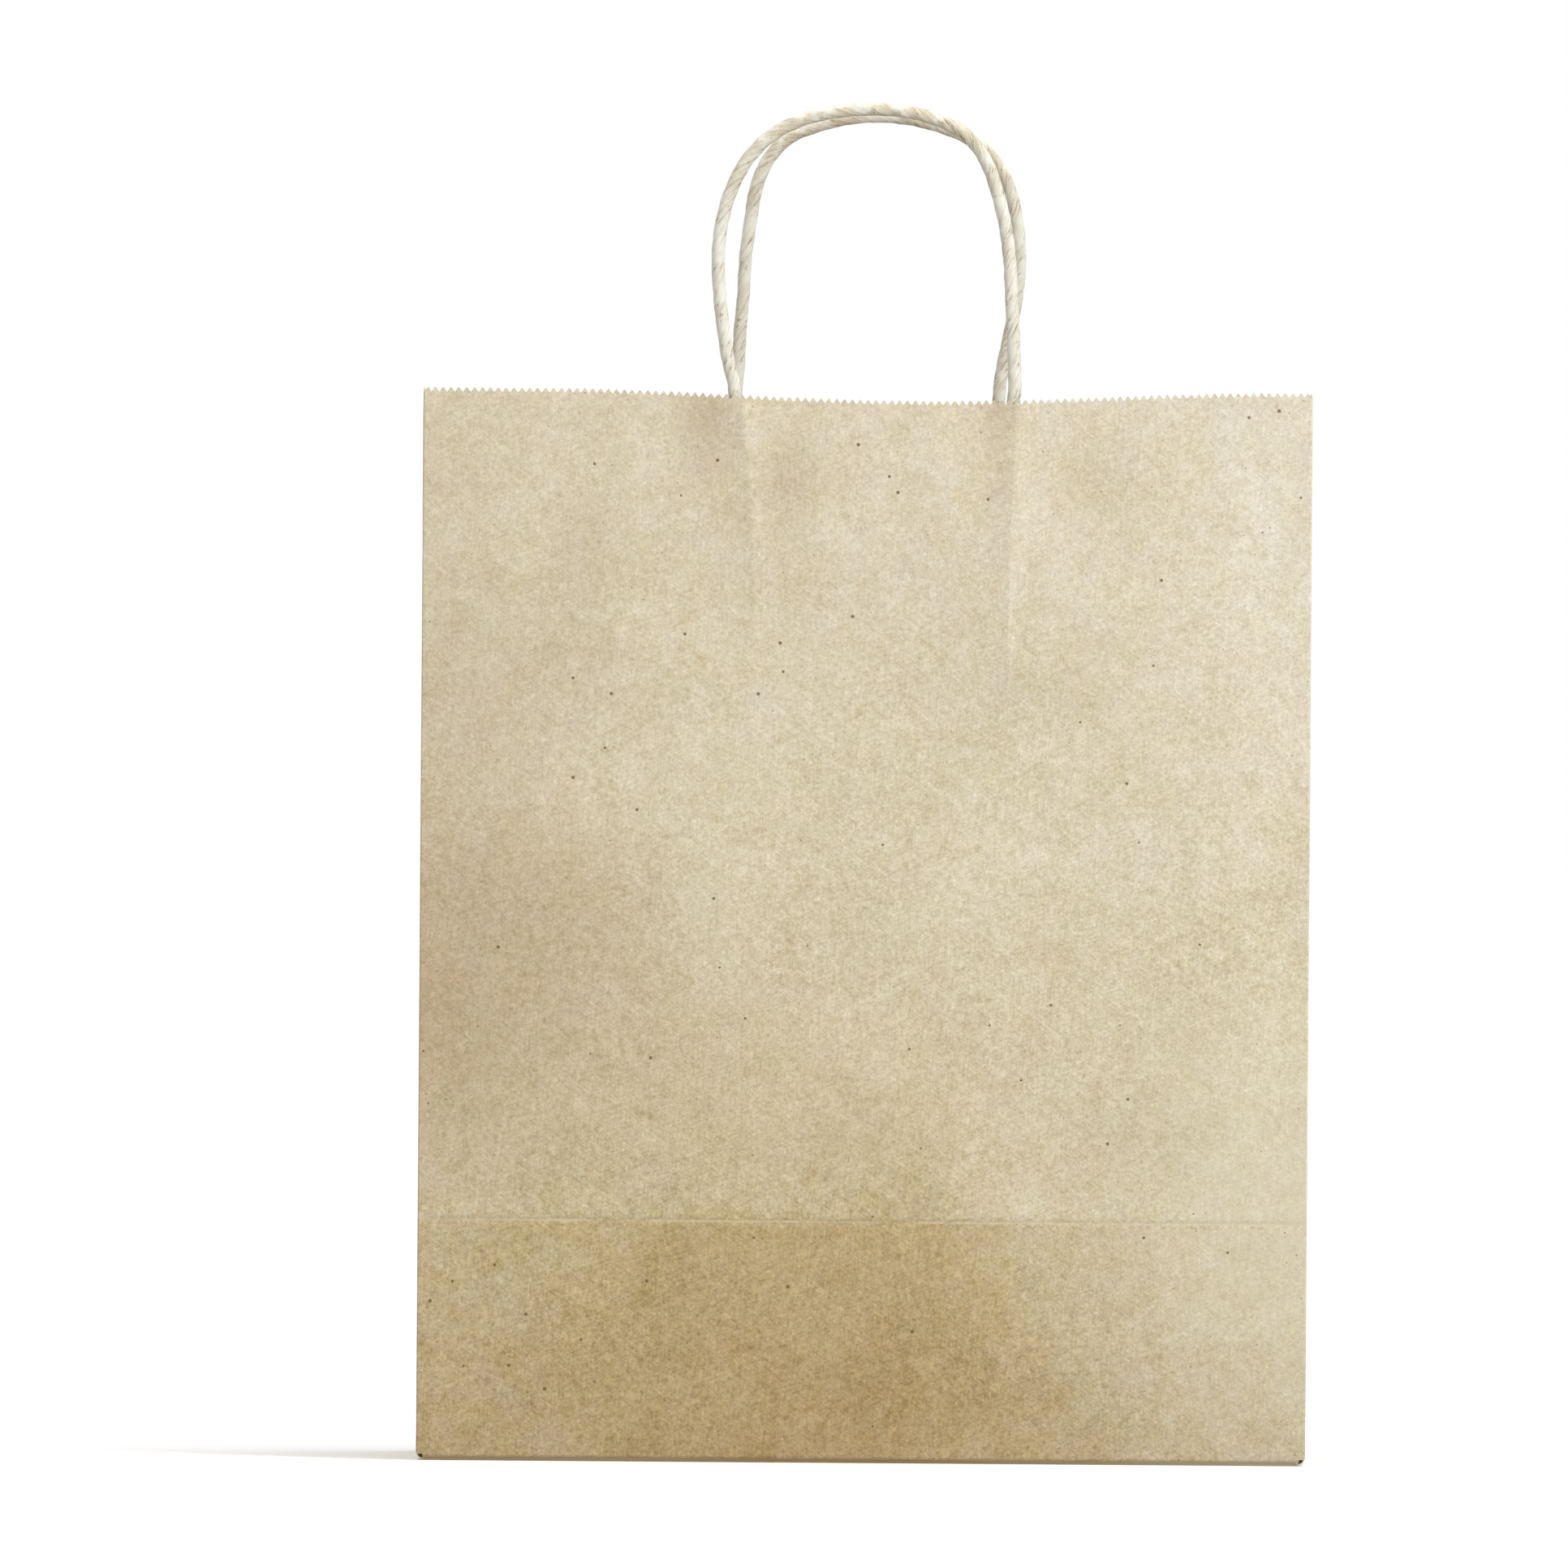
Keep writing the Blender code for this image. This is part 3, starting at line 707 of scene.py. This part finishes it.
def kraft(name, stops, rest_attribute=True, painted_light_and_shade=False):
    """Brown kraft paper: cloudy fibre pulp, short crossing fibres, specks and a dull surface, with
    painted light and shade in its tones, washes and crease lines.
    """
    material, shader = new_material(name)
    where = stored(shader, "rest") if rest_attribute else add(shader, "TexCoord").outputs["Object"]
    colour, split = kraft_tone(where, stops)
    height = split.outputs["Z"]
    clouds, blots = noise_value(where, *CLOUDS), noise_value(where, *BLOTS)
    grain, fuzz = noise_value(where, *GRAIN), noise_value(where, *FUZZ)
    if painted_light_and_shade:
        # painted shade in soft washes: the left side, the foot and around the rope ends near the mouth
        colour = add_painted_shade_washes(split, blots, colour)
        # painted light: lighter paper at the lower right
        pale = times(wash_share(split, blots, *PAINTED_LIGHT_WASH), PAINTED_LIGHT_SHARE)
        colour = painted(colour, pale, PAINTED_LIGHT_TONE)
    colour = hued(where, height, colour, clouds, blots)
    colour = fibrous(where, height, colour, clouds, blots, grain, fuzz)
    if painted_light_and_shade:
        # the same painted light at the lower right, laid again over the fibres
        colour = painted(colour, pale, PAINTED_LIGHT_TONE)
    colour = crease_light_and_shade(split, colour, blots, grain)
    for *cells, tone, amount in SPECKS:
        mask = times(speck_mask(where, *cells), amount)
        colour = painted(colour, mask, tone)
    roughness = remap(grain, 0.3, 0.7, *PAPER_ROUGHNESS)
    relief = weighted(((fuzz, 0.3), (grain, 0.7)))
    surface(shader, colour, roughness, relief, PAPER_BUMP,
            Specular_IOR_Level=0.25, Sheen_Weight=0.08, Sheen_Roughness=0.6)
    return material


def cream_rope():
    """Twisted cream paper: pale strands, thin dark lines along the creases that are partly dust and
    partly painted shade, painted shade in the gaps between the strands, a handled top.
    """
    material, shader = new_material("cream_rope")
    where, lay = stored(shader, "rest"), stored(shader, "lay")
    crease = stored(shader, "crease", "Fac")
    height = add(shader, "SeparateXYZ", Vector=where).outputs["Z"]
    streaks = noise_value(lay, *ROPE_STREAKS)
    patches = noise_value(where, *ROPE_PATCHES)
    grain = noise_value(where, *ROPE_GRAIN)
    share = weighted(((patches, 0.3), (streaks, 0.7)))
    colour = mixed(remap(share, 0.36, 0.66), linear(*STRAND_PALE), linear(*STRAND_DEEP))
    handled = times(remap(height, *HANDLED), remap(patches, 0.36, 0.62))
    colour = painted(colour, handled, HANDLED_TONE)
    # the creases darker: partly dust, partly painted shade in the grooves, more of it towards the top
    line = times(crease, remap(patches, 0.34, 0.60, 0.25, 1.0))
    line = times(line, remap(height, *CREASE_DUST_AND_SHADE_HEIGHTS))
    colour = painted(colour, line, CREASE_DUST_AND_SHADE_TONE)
    # painted shade: thin dark lines along the lay for the shaded gaps between the strands
    strand = minus(noise_value(lay, *ROPE_GAP_LINES), 0.5)
    gap_shade = times(line_share(strand, *GAP_SHADE_LINE), remap(patches, 0.40, 0.54))
    colour = painted(colour, gap_shade, GAP_SHADE_TONE)
    roughness = remap(streaks, 0.3, 0.7, *ROPE_ROUGHNESS)
    relief = weighted(((grain, 0.25), (streaks, 0.75)))
    surface(shader, colour, roughness, relief, ROPE_BUMP,
            Specular_IOR_Level=0.3, Sheen_Weight=0.1)
    return material


# ---- the walls

def toothed_sheet(name, node, axis, place, rows, first, last, windows, material, columns_at=None,
                  arc_low=(), arc_high=()):
    """A wall sheet whose top carries the same teeth as a CAD node's."""
    roots, tips = tooth_outline(node, axis)
    root_s, root_z = [s for s, _ in roots], [z for _, z in roots]

    def root_height(s):
        """Height of the line through the roots."""
        return float(np.interp(s, root_s, root_z))

    def height_at(t, s):
        """Rows bend near the mouth, until the last one follows the roots."""
        if t <= rows[-1] - MOUTH_BAND:
            return t
        share = (t - rows[-1] + MOUTH_BAND) / MOUTH_BAND
        return t + share * (root_height(s) - rows[-1])

    inner = [s for s in root_s if first + ROOT_CLEAR < s < last - ROOT_CLEAR]
    for start, end in windows:
        inner = [s for s in inner if not start < s < end]
        inner += spaced(start, end, FINE_STEP)
        inner += [s for s in root_s if start < s < end]
    flat = sorted({round(s, 7) for s in inner} | {first, last})
    columns = list(arc_low) + flat + list(arc_high)

    def row_columns(t):
        """The columns at height t."""
        return columns_at(columns, t) if columns_at else columns

    spots, faces, top_row = grid_layout(rows, row_columns, height_at)
    add_teeth(spots, faces, top_row, roots, tips, root_height)
    return paper_piece(name, spots, faces, place, material)


def wall_rows(low, top):
    """Row heights of a wall, closer together at the crease."""
    return spaced(low, top, ROW_STEP, [(CREASE - CREASE_WINDOW, CREASE + CREASE_WINDOW)])


def mouth_roots(node):
    """Mean height of the roots between a CAD node's teeth."""
    axis = 0 if node.endswith("panel") else 1
    roots, _ = tooth_outline(node, axis)
    return sum(z for _, z in roots) / len(roots)


def quarter_turn(radius):
    """Arc lengths from 0, not included, to a quarter turn."""
    return [math.pi / 2 * radius * step / TURN_STEPS for step in range(1, TURN_STEPS + 1)]


def corner_columns(edge, side):
    """Columns of a rounded corner that starts at edge and turns a quarter to one side."""
    return sorted(edge + side * arc for arc in quarter_turn(CORNER_RADIUS))


def ridge_windows(routes):
    """Stretches along x where the mesh is fine enough for the rope ridges."""
    windows = []
    for route in routes:
        xs = [x * MM for x, _ in route]
        windows.append((min(xs) - RIDGE_WINDOW, max(xs) + RIDGE_WINDOW))
    return windows


def wide_sheet(label, facing, low, right, material, **arcs):
    """A wide panel, from the height low to the teeth; facing is -1 for the front."""
    y, node, routes = facing * HALF_D, f"{label}_panel", [LEFT_END_ROUTE, right]
    place = sheet_place(Vector((0, y, 0)), X, Z, Y * facing, -FOLD_X, FOLD_X, CORNER_RADIUS,
                        wide_relief(y, routes))
    return toothed_sheet(f"{label}_sheet", node, 0, place, wall_rows(low, mouth_roots(node)),
                         -FOLD_X, FOLD_X, ridge_windows(routes), material, **arcs)


def front_sheet(material):
    """The front panel, from the bottom fold to the teeth."""
    piece = wide_sheet("front", -1, FOOT_CENTRE, FRONT_RIGHT_END_ROUTE, material)
    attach(piece, "front_panel")
    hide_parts("front_panel")


def back_sheet(material):
    """The back panel above the crease, with both rear corners rounded."""
    piece = wide_sheet("back", 1, CREASE + HINGE_HALF, BACK_RIGHT_END_ROUTE, material,
                       arc_low=corner_columns(-FOLD_X, -1), arc_high=corner_columns(FOLD_X, 1))
    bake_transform(piece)
    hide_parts("back_panel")


def side_sheets(side, label, material):
    """The two halves of a folding side wall and its rear corner triangle."""
    x = side * HALF_W
    outward = X * side
    place = sheet_place(Vector((x, 0, 0)), Y, Z, outward, -FOLD_Y, FOLD_Y, CORNER_RADIUS,
                        side_relief(x))
    front_node, rear_node = f"{label}_gusset_front", f"{label}_gusset_rear"

    def narrowed(columns, t):
        """Below the crease the front half ends on the 45 degree fold."""
        end = -HINGE_HALF if t >= CREASE else -(HALF_D - t) - DIAGONAL_HALF
        end = min(end, -HINGE_HALF)
        full = FOLD_Y - HINGE_HALF
        return [s if s <= -FOLD_Y else -FOLD_Y + (s + FOLD_Y) * (end + FOLD_Y) / full
                for s in columns]

    rows = wall_rows(WALL_FOOT, mouth_roots(front_node))
    front = toothed_sheet(f"{label}_gusset_front_sheet", front_node, 1, place, rows, -FOLD_Y,
                          -HINGE_HALF, (), material, columns_at=narrowed,
                          arc_low=corner_columns(-FOLD_Y, -1))
    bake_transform(front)
    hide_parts(front_node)

    bend = list(np.linspace(-HINGE_HALF, HINGE_HALF, BEND_STEPS + 1))[:-1]
    rows = wall_rows(CREASE, mouth_roots(rear_node))
    rear = toothed_sheet(f"{label}_gusset_rear_sheet", rear_node, 1, place, rows, HINGE_HALF,
                         FOLD_Y, (), material, arc_low=bend)
    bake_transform(rear)
    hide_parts(rear_node)

    def triangle(t):
        """Columns of the rear corner, from the 45 degree fold round to the rear panel."""
        start = HALF_D - t + DIAGONAL_HALF
        width = FOLD_Y - start
        flat = [start + width * step / TRIANGLE_STEPS for step in range(TRIANGLE_STEPS + 1)]
        return flat + corner_columns(FOLD_Y, 1)

    rows = spaced(WALL_FOOT, CREASE, ROW_STEP, [(CREASE - CREASE_WINDOW, CREASE)])
    corner = grid_piece(f"{label}_rear_corner_sheet", rows, triangle, place, material)
    corner_node = f"{label}_rear_corner"
    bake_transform(corner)
    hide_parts(corner_node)


def strip_sheet(material):
    """The rear wall below the crease."""
    start, end = -(CREASE + HINGE_HALF), -WALL_FOOT
    place = sheet_place(Vector((0, HALF_D, 0)), -Z, X, Y, start, end, FOOT_RADIUS, flat_relief)
    down = list(np.linspace(start, start + 2 * HINGE_HALF, BEND_STEPS + 1))
    down += spaced(down[-1] + ROW_STEP, end, ROW_STEP)
    columns = spaced(-FOLD_X, FOLD_X, ROW_STEP)

    def panel_place(s, t, depth):
        """Swaps the axes, so that rows run down the wall, and adds the cockles."""
        fade = smooth((FOLD_X - abs(s)) / FADE_REACH)
        level = smooth((CREASE + t) / STRIP_CALM_REACH) * smooth(-t / STRIP_CALM_REACH)
        lift = STRIP_COCKLE * fade * level * cockles((s, HALF_D, -t))
        return place(t, s, depth) + Y * lift

    piece = grid_piece("rear_bottom_strip_sheet", down, lambda t: columns, panel_place, material)
    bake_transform(piece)
    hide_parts("rear_bottom_strip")


def gore_sheets(material):
    """The lower middle triangles of the side walls, which fold in with the bottom."""
    down = spaced(-CREASE, -WALL_FOOT, ROW_STEP)

    def across(t):
        """Columns between the two 45 degree folds."""
        reach = min(HALF_D + t + GORE_LIP, FOLD_Y)
        return [reach * (step / TRIANGLE_STEPS - 1) for step in range(2 * TRIANGLE_STEPS + 1)]

    for side, label in ((-1, "left"), (1, "right")):
        place = sheet_place(Vector((side * GORE_X, 0, 0)), -Z, Y, X * side,
                            -CREASE, -WALL_FOOT, FOOT_RADIUS, flat_relief)
        piece = grid_piece(f"{label}_gore_sheet", down, across, swapped(place), material)
        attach(piece, f"{label}_gore")
        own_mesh(piece)
        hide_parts(f"{label}_gore")


# ---- bottom and patches

def bottom_sheets(material):
    """The block bottom: the inner flap runs on from the front panel, the outer one turns up
    to the rear wall, and narrow feet turn up to the side walls."""
    half = GORE_X - FOOT_RADIUS
    columns = spaced(-half, half, 4 * ROW_STEP)
    turn = -HALF_D + FRONT_FOOT_RADIUS
    outer_start, outer_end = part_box("base_outer_flap")[0].y, HALF_D - FOOT_RADIUS
    inner_place = sheet_place(Vector((0, 0, INNER_FLAP_LEVEL)), Y, X, -Z, turn, INNER_FLAP_END,
                              FRONT_FOOT_RADIUS, flat_relief)
    outer_place = sheet_place(Vector((0, 0, CAD_LOW.z)), Y, X, -Z, outer_start, outer_end,
                              FOOT_RADIUS, flat_relief)
    inner = [turn - arc for arc in quarter_turn(FRONT_FOOT_RADIUS)[::-1]]
    inner += spaced(turn, INNER_FLAP_END, 2 * ROW_STEP)
    outer = spaced(outer_start, outer_end, 2 * ROW_STEP)
    outer += [outer_end + arc for arc in quarter_turn(FOOT_RADIUS)]
    low = -HALF_D + GORE_INSET
    reach = spaced(low, outer_end, ROW_STEP)

    def turned(t, flat_end):
        """How far sideways a foot that leaves the flat at flat_end has turned at arc length t."""
        return FOOT_RADIUS * math.sin(max(0.0, t - flat_end) / FOOT_RADIUS)

    def outer_columns(t):
        """The outer flap widens as it turns up, to a mitre with the side feet."""
        return [x * (1 + turned(t, outer_end) / half) for x in columns]

    def foot_columns(t):
        """A side foot ends on the same mitre."""
        grown = 1 + turned(t, -FOOT_RADIUS) / (outer_end - low)
        return [low + (y - low) * grown for y in reach]

    sheets = [("base_inner_flap_sheet", inner, lambda t: columns, inner_place, "base_inner_flap"),
              ("base_outer_flap_sheet", outer, outer_columns, outer_place, "base_outer_flap")]
    foot = [-FOOT_RADIUS] + [arc - FOOT_RADIUS for arc in quarter_turn(FOOT_RADIUS)]
    for side, label in ((-1, "left"), (1, "right")):
        foot_place = sheet_place(Vector((side * GORE_X, 0, 0)), -Z, Y, X * side,
                                 -CREASE, -FOOT_RADIUS, FOOT_RADIUS, flat_relief)
        sheets.append((f"{label}_foot_sheet", foot, foot_columns, foot_place, None))
    for name, steps, columns_at, place, node in sheets:
        piece = grid_piece(name, steps, columns_at, swapped(place), material)
        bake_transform(piece)
        if node:
            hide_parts(node)


def channel(x, z, routes):
    """How far the inner ply is tented over the rope ends."""
    lift = 0.0
    for route in routes:
        away = abs(x - end_x(route, z))
        side = 1 - smooth((away - CHANNEL_FLAT) / (CHANNEL_REACH - CHANNEL_FLAT))
        foot = smooth((z - route[-1][1] * MM + CHANNEL_FOOT) / CHANNEL_FOOT)
        lift = max(lift, CHANNEL_LIFT * side * foot)
    return lift


def inner_plies(material):
    """The paper patches that hold the rope ends, tented over them."""
    for label, facing, right in (("front", 1, FRONT_RIGHT_END_ROUTE),
                                 ("back", -1, BACK_RIGHT_END_ROUTE)):
        node = f"{label}_patch_inner_ply"
        low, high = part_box(node)
        glued = (low.y if facing > 0 else high.y) + facing * PAPER
        routes = [LEFT_END_ROUTE, right]
        place = sheet_place(Vector((0, glued, 0)), X, Z, Y * facing, low.x, high.x,
                            CORNER_RADIUS, lambda x, z, routes=routes: channel(x, z, routes))
        columns = spaced(low.x, high.x, ROW_STEP, ridge_windows(routes))
        rows = spaced(low.z, high.z, ROW_STEP)
        piece = grid_piece(f"{node}_sheet", rows, lambda t, columns=columns: columns, place,
                           material)
        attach(piece, f"{label}_panel")
        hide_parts(node)


# ---- rope handles

def smooth_path(points, step):
    """Evenly spaced points of a softened Catmull-Rom curve through (x, z) points, and how far
    along the curve each one lies."""
    dense = []
    padded = [points[0]] + points + [points[-1]]
    for a, b, c, d in zip(padded, padded[1:], padded[2:], padded[3:]):
        for part in range(PATH_PARTS):
            t = part / PATH_PARTS
            dense.append(0.5 * (2 * b + (c - a) * t + (2 * a - 5 * b + 4 * c - d) * t * t
                                + (3 * b - a - 3 * c + d) * t ** 3))
    dense = np.array(dense + [points[-1]])
    run = np.concatenate([[0], np.cumsum(np.linalg.norm(np.diff(dense, axis=0), axis=1))])
    even = np.linspace(0, run[-1], int(run[-1] / step))
    path = np.column_stack([np.interp(even, run, dense[:, axis]) for axis in (0, 1)])
    for _ in range(PATH_SOFTENING):
        path[1:-1] = (path[:-2] + 2 * path[1:-1] + path[2:]) / 4
    return path, even


def rope_section(z):
    """Half width and half thickness of the rope at height z: pressed flat when glued in."""
    flat = smooth((FLATTEN_FROM - z) / (FLATTEN_FROM - FLATTEN_TO))
    return (ROPE_RADIUS + (END_HALF_WIDTH - ROPE_RADIUS) * flat,
            ROPE_RADIUS + (END_HALF_THICKNESS - ROPE_RADIUS) * flat)


def groove(turn, along, seed):
    """Depth share, 0 to 1, of the helical creases at a turn round the rope."""
    deepest = 0.0
    for phase, strength, width in ROPE_GROOVES:
        drift = GROOVE_DRIFT * wander((along, seed, phase), 17 * MM, seed)
        patchy = 0.75 + 0.5 * wander((along, phase, seed), 11 * MM, seed + 4)
        away = (turn - phase - drift + math.pi) % (2 * math.pi) - math.pi
        deepest = max(deepest, strength * patchy * bell(away, width))
    return min(1.0, deepest)


def rope_handle(name, points, y, seed, material):
    """A twisted paper rope along (x, z) points in millimetres, in the plane y."""
    path, run = smooth_path([np.array(point) * MM for point in points], ROPE_STEP)
    tangents = np.gradient(path, axis=0)
    tangents /= np.linalg.norm(tangents, axis=1)[:, None]
    places, creases, lays = [], [], []
    for (x, z), (tx, tz), along in zip(path, tangents, run):
        half_width, half_depth = rope_section(z)
        swell = 1 + SWELL * wander((along, seed, 0), 24 * MM, seed)
        drift = TWIST_DRIFT * wander((along, 0, seed), 40 * MM, seed)
        twist = 2 * math.pi * along / TWIST_PITCH + drift
        sway = SWAY * wander((along, 2 * seed, 0), 15 * MM, seed + 2)
        for side in range(ROPE_SIDES):
            angle = 2 * math.pi * side / ROPE_SIDES
            turn = (angle + twist) % (2 * math.pi)
            depth = groove(turn, along, seed)
            lobe = LOBE * math.cos(3 * turn + 0.4)
            fray = FRAY * wander((2 * turn * MM, along, seed), 1.6 * MM, seed)
            share = swell * (1 + lobe + fray) - depth * GROOVE_DEPTH / ROPE_RADIUS
            across = half_width * share * math.cos(angle) + sway
            places.append((x - tz * across, y + half_depth * share * math.sin(angle),
                           z + tx * across))
            creases.append(depth)
            lays.append((math.cos(turn), math.sin(turn), along / TWIST_PITCH))
    rings = len(path)
    faces = []
    for ring in range(rings - 1):
        for side in range(ROPE_SIDES):
            here, after = ring * ROPE_SIDES + side, ring * ROPE_SIDES + (side + 1) % ROPE_SIDES
            faces.append((here, after, after + ROPE_SIDES, here + ROPE_SIDES))
    faces.append(tuple(range(ROPE_SIDES)))
    faces.append(tuple(range((rings - 1) * ROPE_SIDES, rings * ROPE_SIDES)))
    mesh = bpy.data.meshes.new(name)
    mesh.from_pydata(places, [], faces)
    mesh.attributes.new("crease", "FLOAT", "POINT").data.foreach_set("value", creases)
    lay = mesh.attributes.new("lay", "FLOAT_VECTOR", "POINT")
    lay.data.foreach_set("vector", np.array(lays, np.float32).ravel())
    return finish_piece(name, mesh, material)


def rope_handles(material):
    """Both handles, each glued into its panel's patch and looping above the mouth."""
    for label, facing, route, right, seed in (
            ("front", 1, FRONT_HANDLE_ROUTE, FRONT_RIGHT_END_ROUTE, 1.3),
            ("back", -1, BACK_HANDLE_ROUTE, BACK_RIGHT_END_ROUTE, 5.9)):
        points = LEFT_END_ROUTE[:0:-1] + route + right[1:]
        y = -facing * ROPE_Y
        piece = rope_handle(f"{label}_handle_rope", points, y, seed, material)
        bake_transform(piece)
        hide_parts(f"{label}_handle_loop", f"{label}_handle_left_end",
                    f"{label}_handle_right_end")


def dress_carried_nodes(patch, base):
    """Better materials for the CAD sheets that are shown as they are."""
    for name, material in (("front_patch_outer_ply", patch), ("back_patch_outer_ply", patch),
                           ("side_seam_lap", patch), ("side_seam_lap_foot", patch),
                           ("base_left_flap", base), ("base_right_flap", base)):
        slot = frame["nodes"][name].material_slots[0]
        slot.link = "OBJECT"
        slot.material = material


# ---- stage, light and camera

FLOOR_REACH = 40.0
CAMERA_DISTANCE = 10.0  # from the front panel: a long lens, as flat as the photo
VIEW_WIDTH = 0.4584  # how much of the front panel's plane the picture spans
VIEW_CENTRE = (-0.0238, 0.1979)
VIEW_ROLL = 0.42  # degrees
SENSOR_WIDTH = 36.0
FILL_STRENGTH = 0.62
KEY_POWER = 24.5
KEY_PLACE, KEY_AIM, KEY_SIZE = (1.25, -1.40, 1.20), (0, 0, 0.16), 0.8
KEY_TINT = (0.93, 0.98, 1.0)
OVERHEAD_STRENGTH, OVERHEAD_PLACE, OVERHEAD_ANGLE = 1.5, (0, 0, 3), math.radians(50)
FLOOR_DROP = 0.5 * MM
FLOOR_TONE = (0.96, 0.96, 0.96, 1)


def make_floor():
    """A wide pale studio floor just under the bag."""
    mesh = bpy.data.meshes.new("studio_floor")
    corners = [Vector((x, y, 0)) * FLOOR_REACH for x, y in ((-1, -1), (1, -1), (1, 1), (-1, 1))]
    low = Z * (CAD_LOW.z - FLOOR_DROP)
    mesh.from_pydata([corner + low for corner in corners], [], [(0, 1, 2, 3)])
    material, shader = new_material("studio_white")
    feed(shader, Base_Color=FLOOR_TONE, Roughness=0.9, Specular_IOR_Level=0.0)
    mesh.materials.append(material)
    floor = linked("studio_floor", mesh)
    floor.visible_diffuse = False  # no strong bounce from below: the light stays even


def add_light(name, kind, energy, place, target, **settings):
    """A light at place that points at target."""
    data = bpy.data.lights.new(name, kind)
    data.energy = energy
    for key, value in settings.items():
        setattr(data, key, value)
    light = linked(name, data)
    light.location = place
    aim = Vector(target) - Vector(place)
    light.rotation_euler = aim.to_track_quat("-Z", "Y").to_euler()
    light.visible_camera = False


def make_light():
    """A white surround, a soft key from the upper right and light on the floor from above."""
    world = bpy.data.worlds.new("studio")
    bpy.context.scene.world = world
    world.use_nodes = True
    tree = world.node_tree
    seen = add(tree, "LightPath").outputs["Is Camera Ray"]
    strength = remap(seen, 0.0, 1.0, FILL_STRENGTH, 1.0, soft=False)
    feed(tree.nodes["Background"], Color=(1, 1, 1, 1), Strength=strength)
    add_light("key", "AREA", KEY_POWER, KEY_PLACE, KEY_AIM, shape="SQUARE", size=KEY_SIZE,
              color=KEY_TINT)
    add_light("overhead", "SUN", OVERHEAD_STRENGTH, OVERHEAD_PLACE, (0, 0, 0),
              angle=OVERHEAD_ANGLE)


def make_camera():
    """A level camera square to the front panel, turned a little, as the photo was taken."""
    data = bpy.data.cameras.new("camera")
    data.sensor_width = SENSOR_WIDTH
    data.lens = SENSOR_WIDTH * CAMERA_DISTANCE / VIEW_WIDTH
    data.clip_start, data.clip_end = 0.1, 4 * FLOOR_REACH
    camera = linked("camera", data)
    camera.location = (VIEW_CENTRE[0], -HALF_D - CAMERA_DISTANCE, VIEW_CENTRE[1])
    upright = Euler((math.pi / 2, 0, 0)).to_quaternion()
    roll = Euler((0, 0, math.radians(VIEW_ROLL))).to_quaternion()
    camera.rotation_euler = (upright @ roll).to_euler()
    bpy.context.scene.camera = camera


def main():
    wall = kraft("kraft_wall", WALL_TONES, painted_light_and_shade=True)
    patch = kraft("kraft_patch_paper", PATCH_TONES)
    carried_patch = kraft("kraft_patch_carried", PATCH_TONES, rest_attribute=False)
    carried_base = kraft("kraft_base_carried", WALL_TONES, rest_attribute=False)
    front_sheet(wall)
    back_sheet(wall)
    side_sheets(-1, "left", wall)
    side_sheets(1, "right", wall)
    strip_sheet(wall)
    gore_sheets(wall)
    bottom_sheets(wall)
    inner_plies(patch)
    rope_handles(cream_rope())
    dress_carried_nodes(carried_patch, carried_base)
    make_floor()
    make_light()
    make_camera()
    scene = bpy.context.scene
    scene.view_settings.view_transform = "Standard"


main()
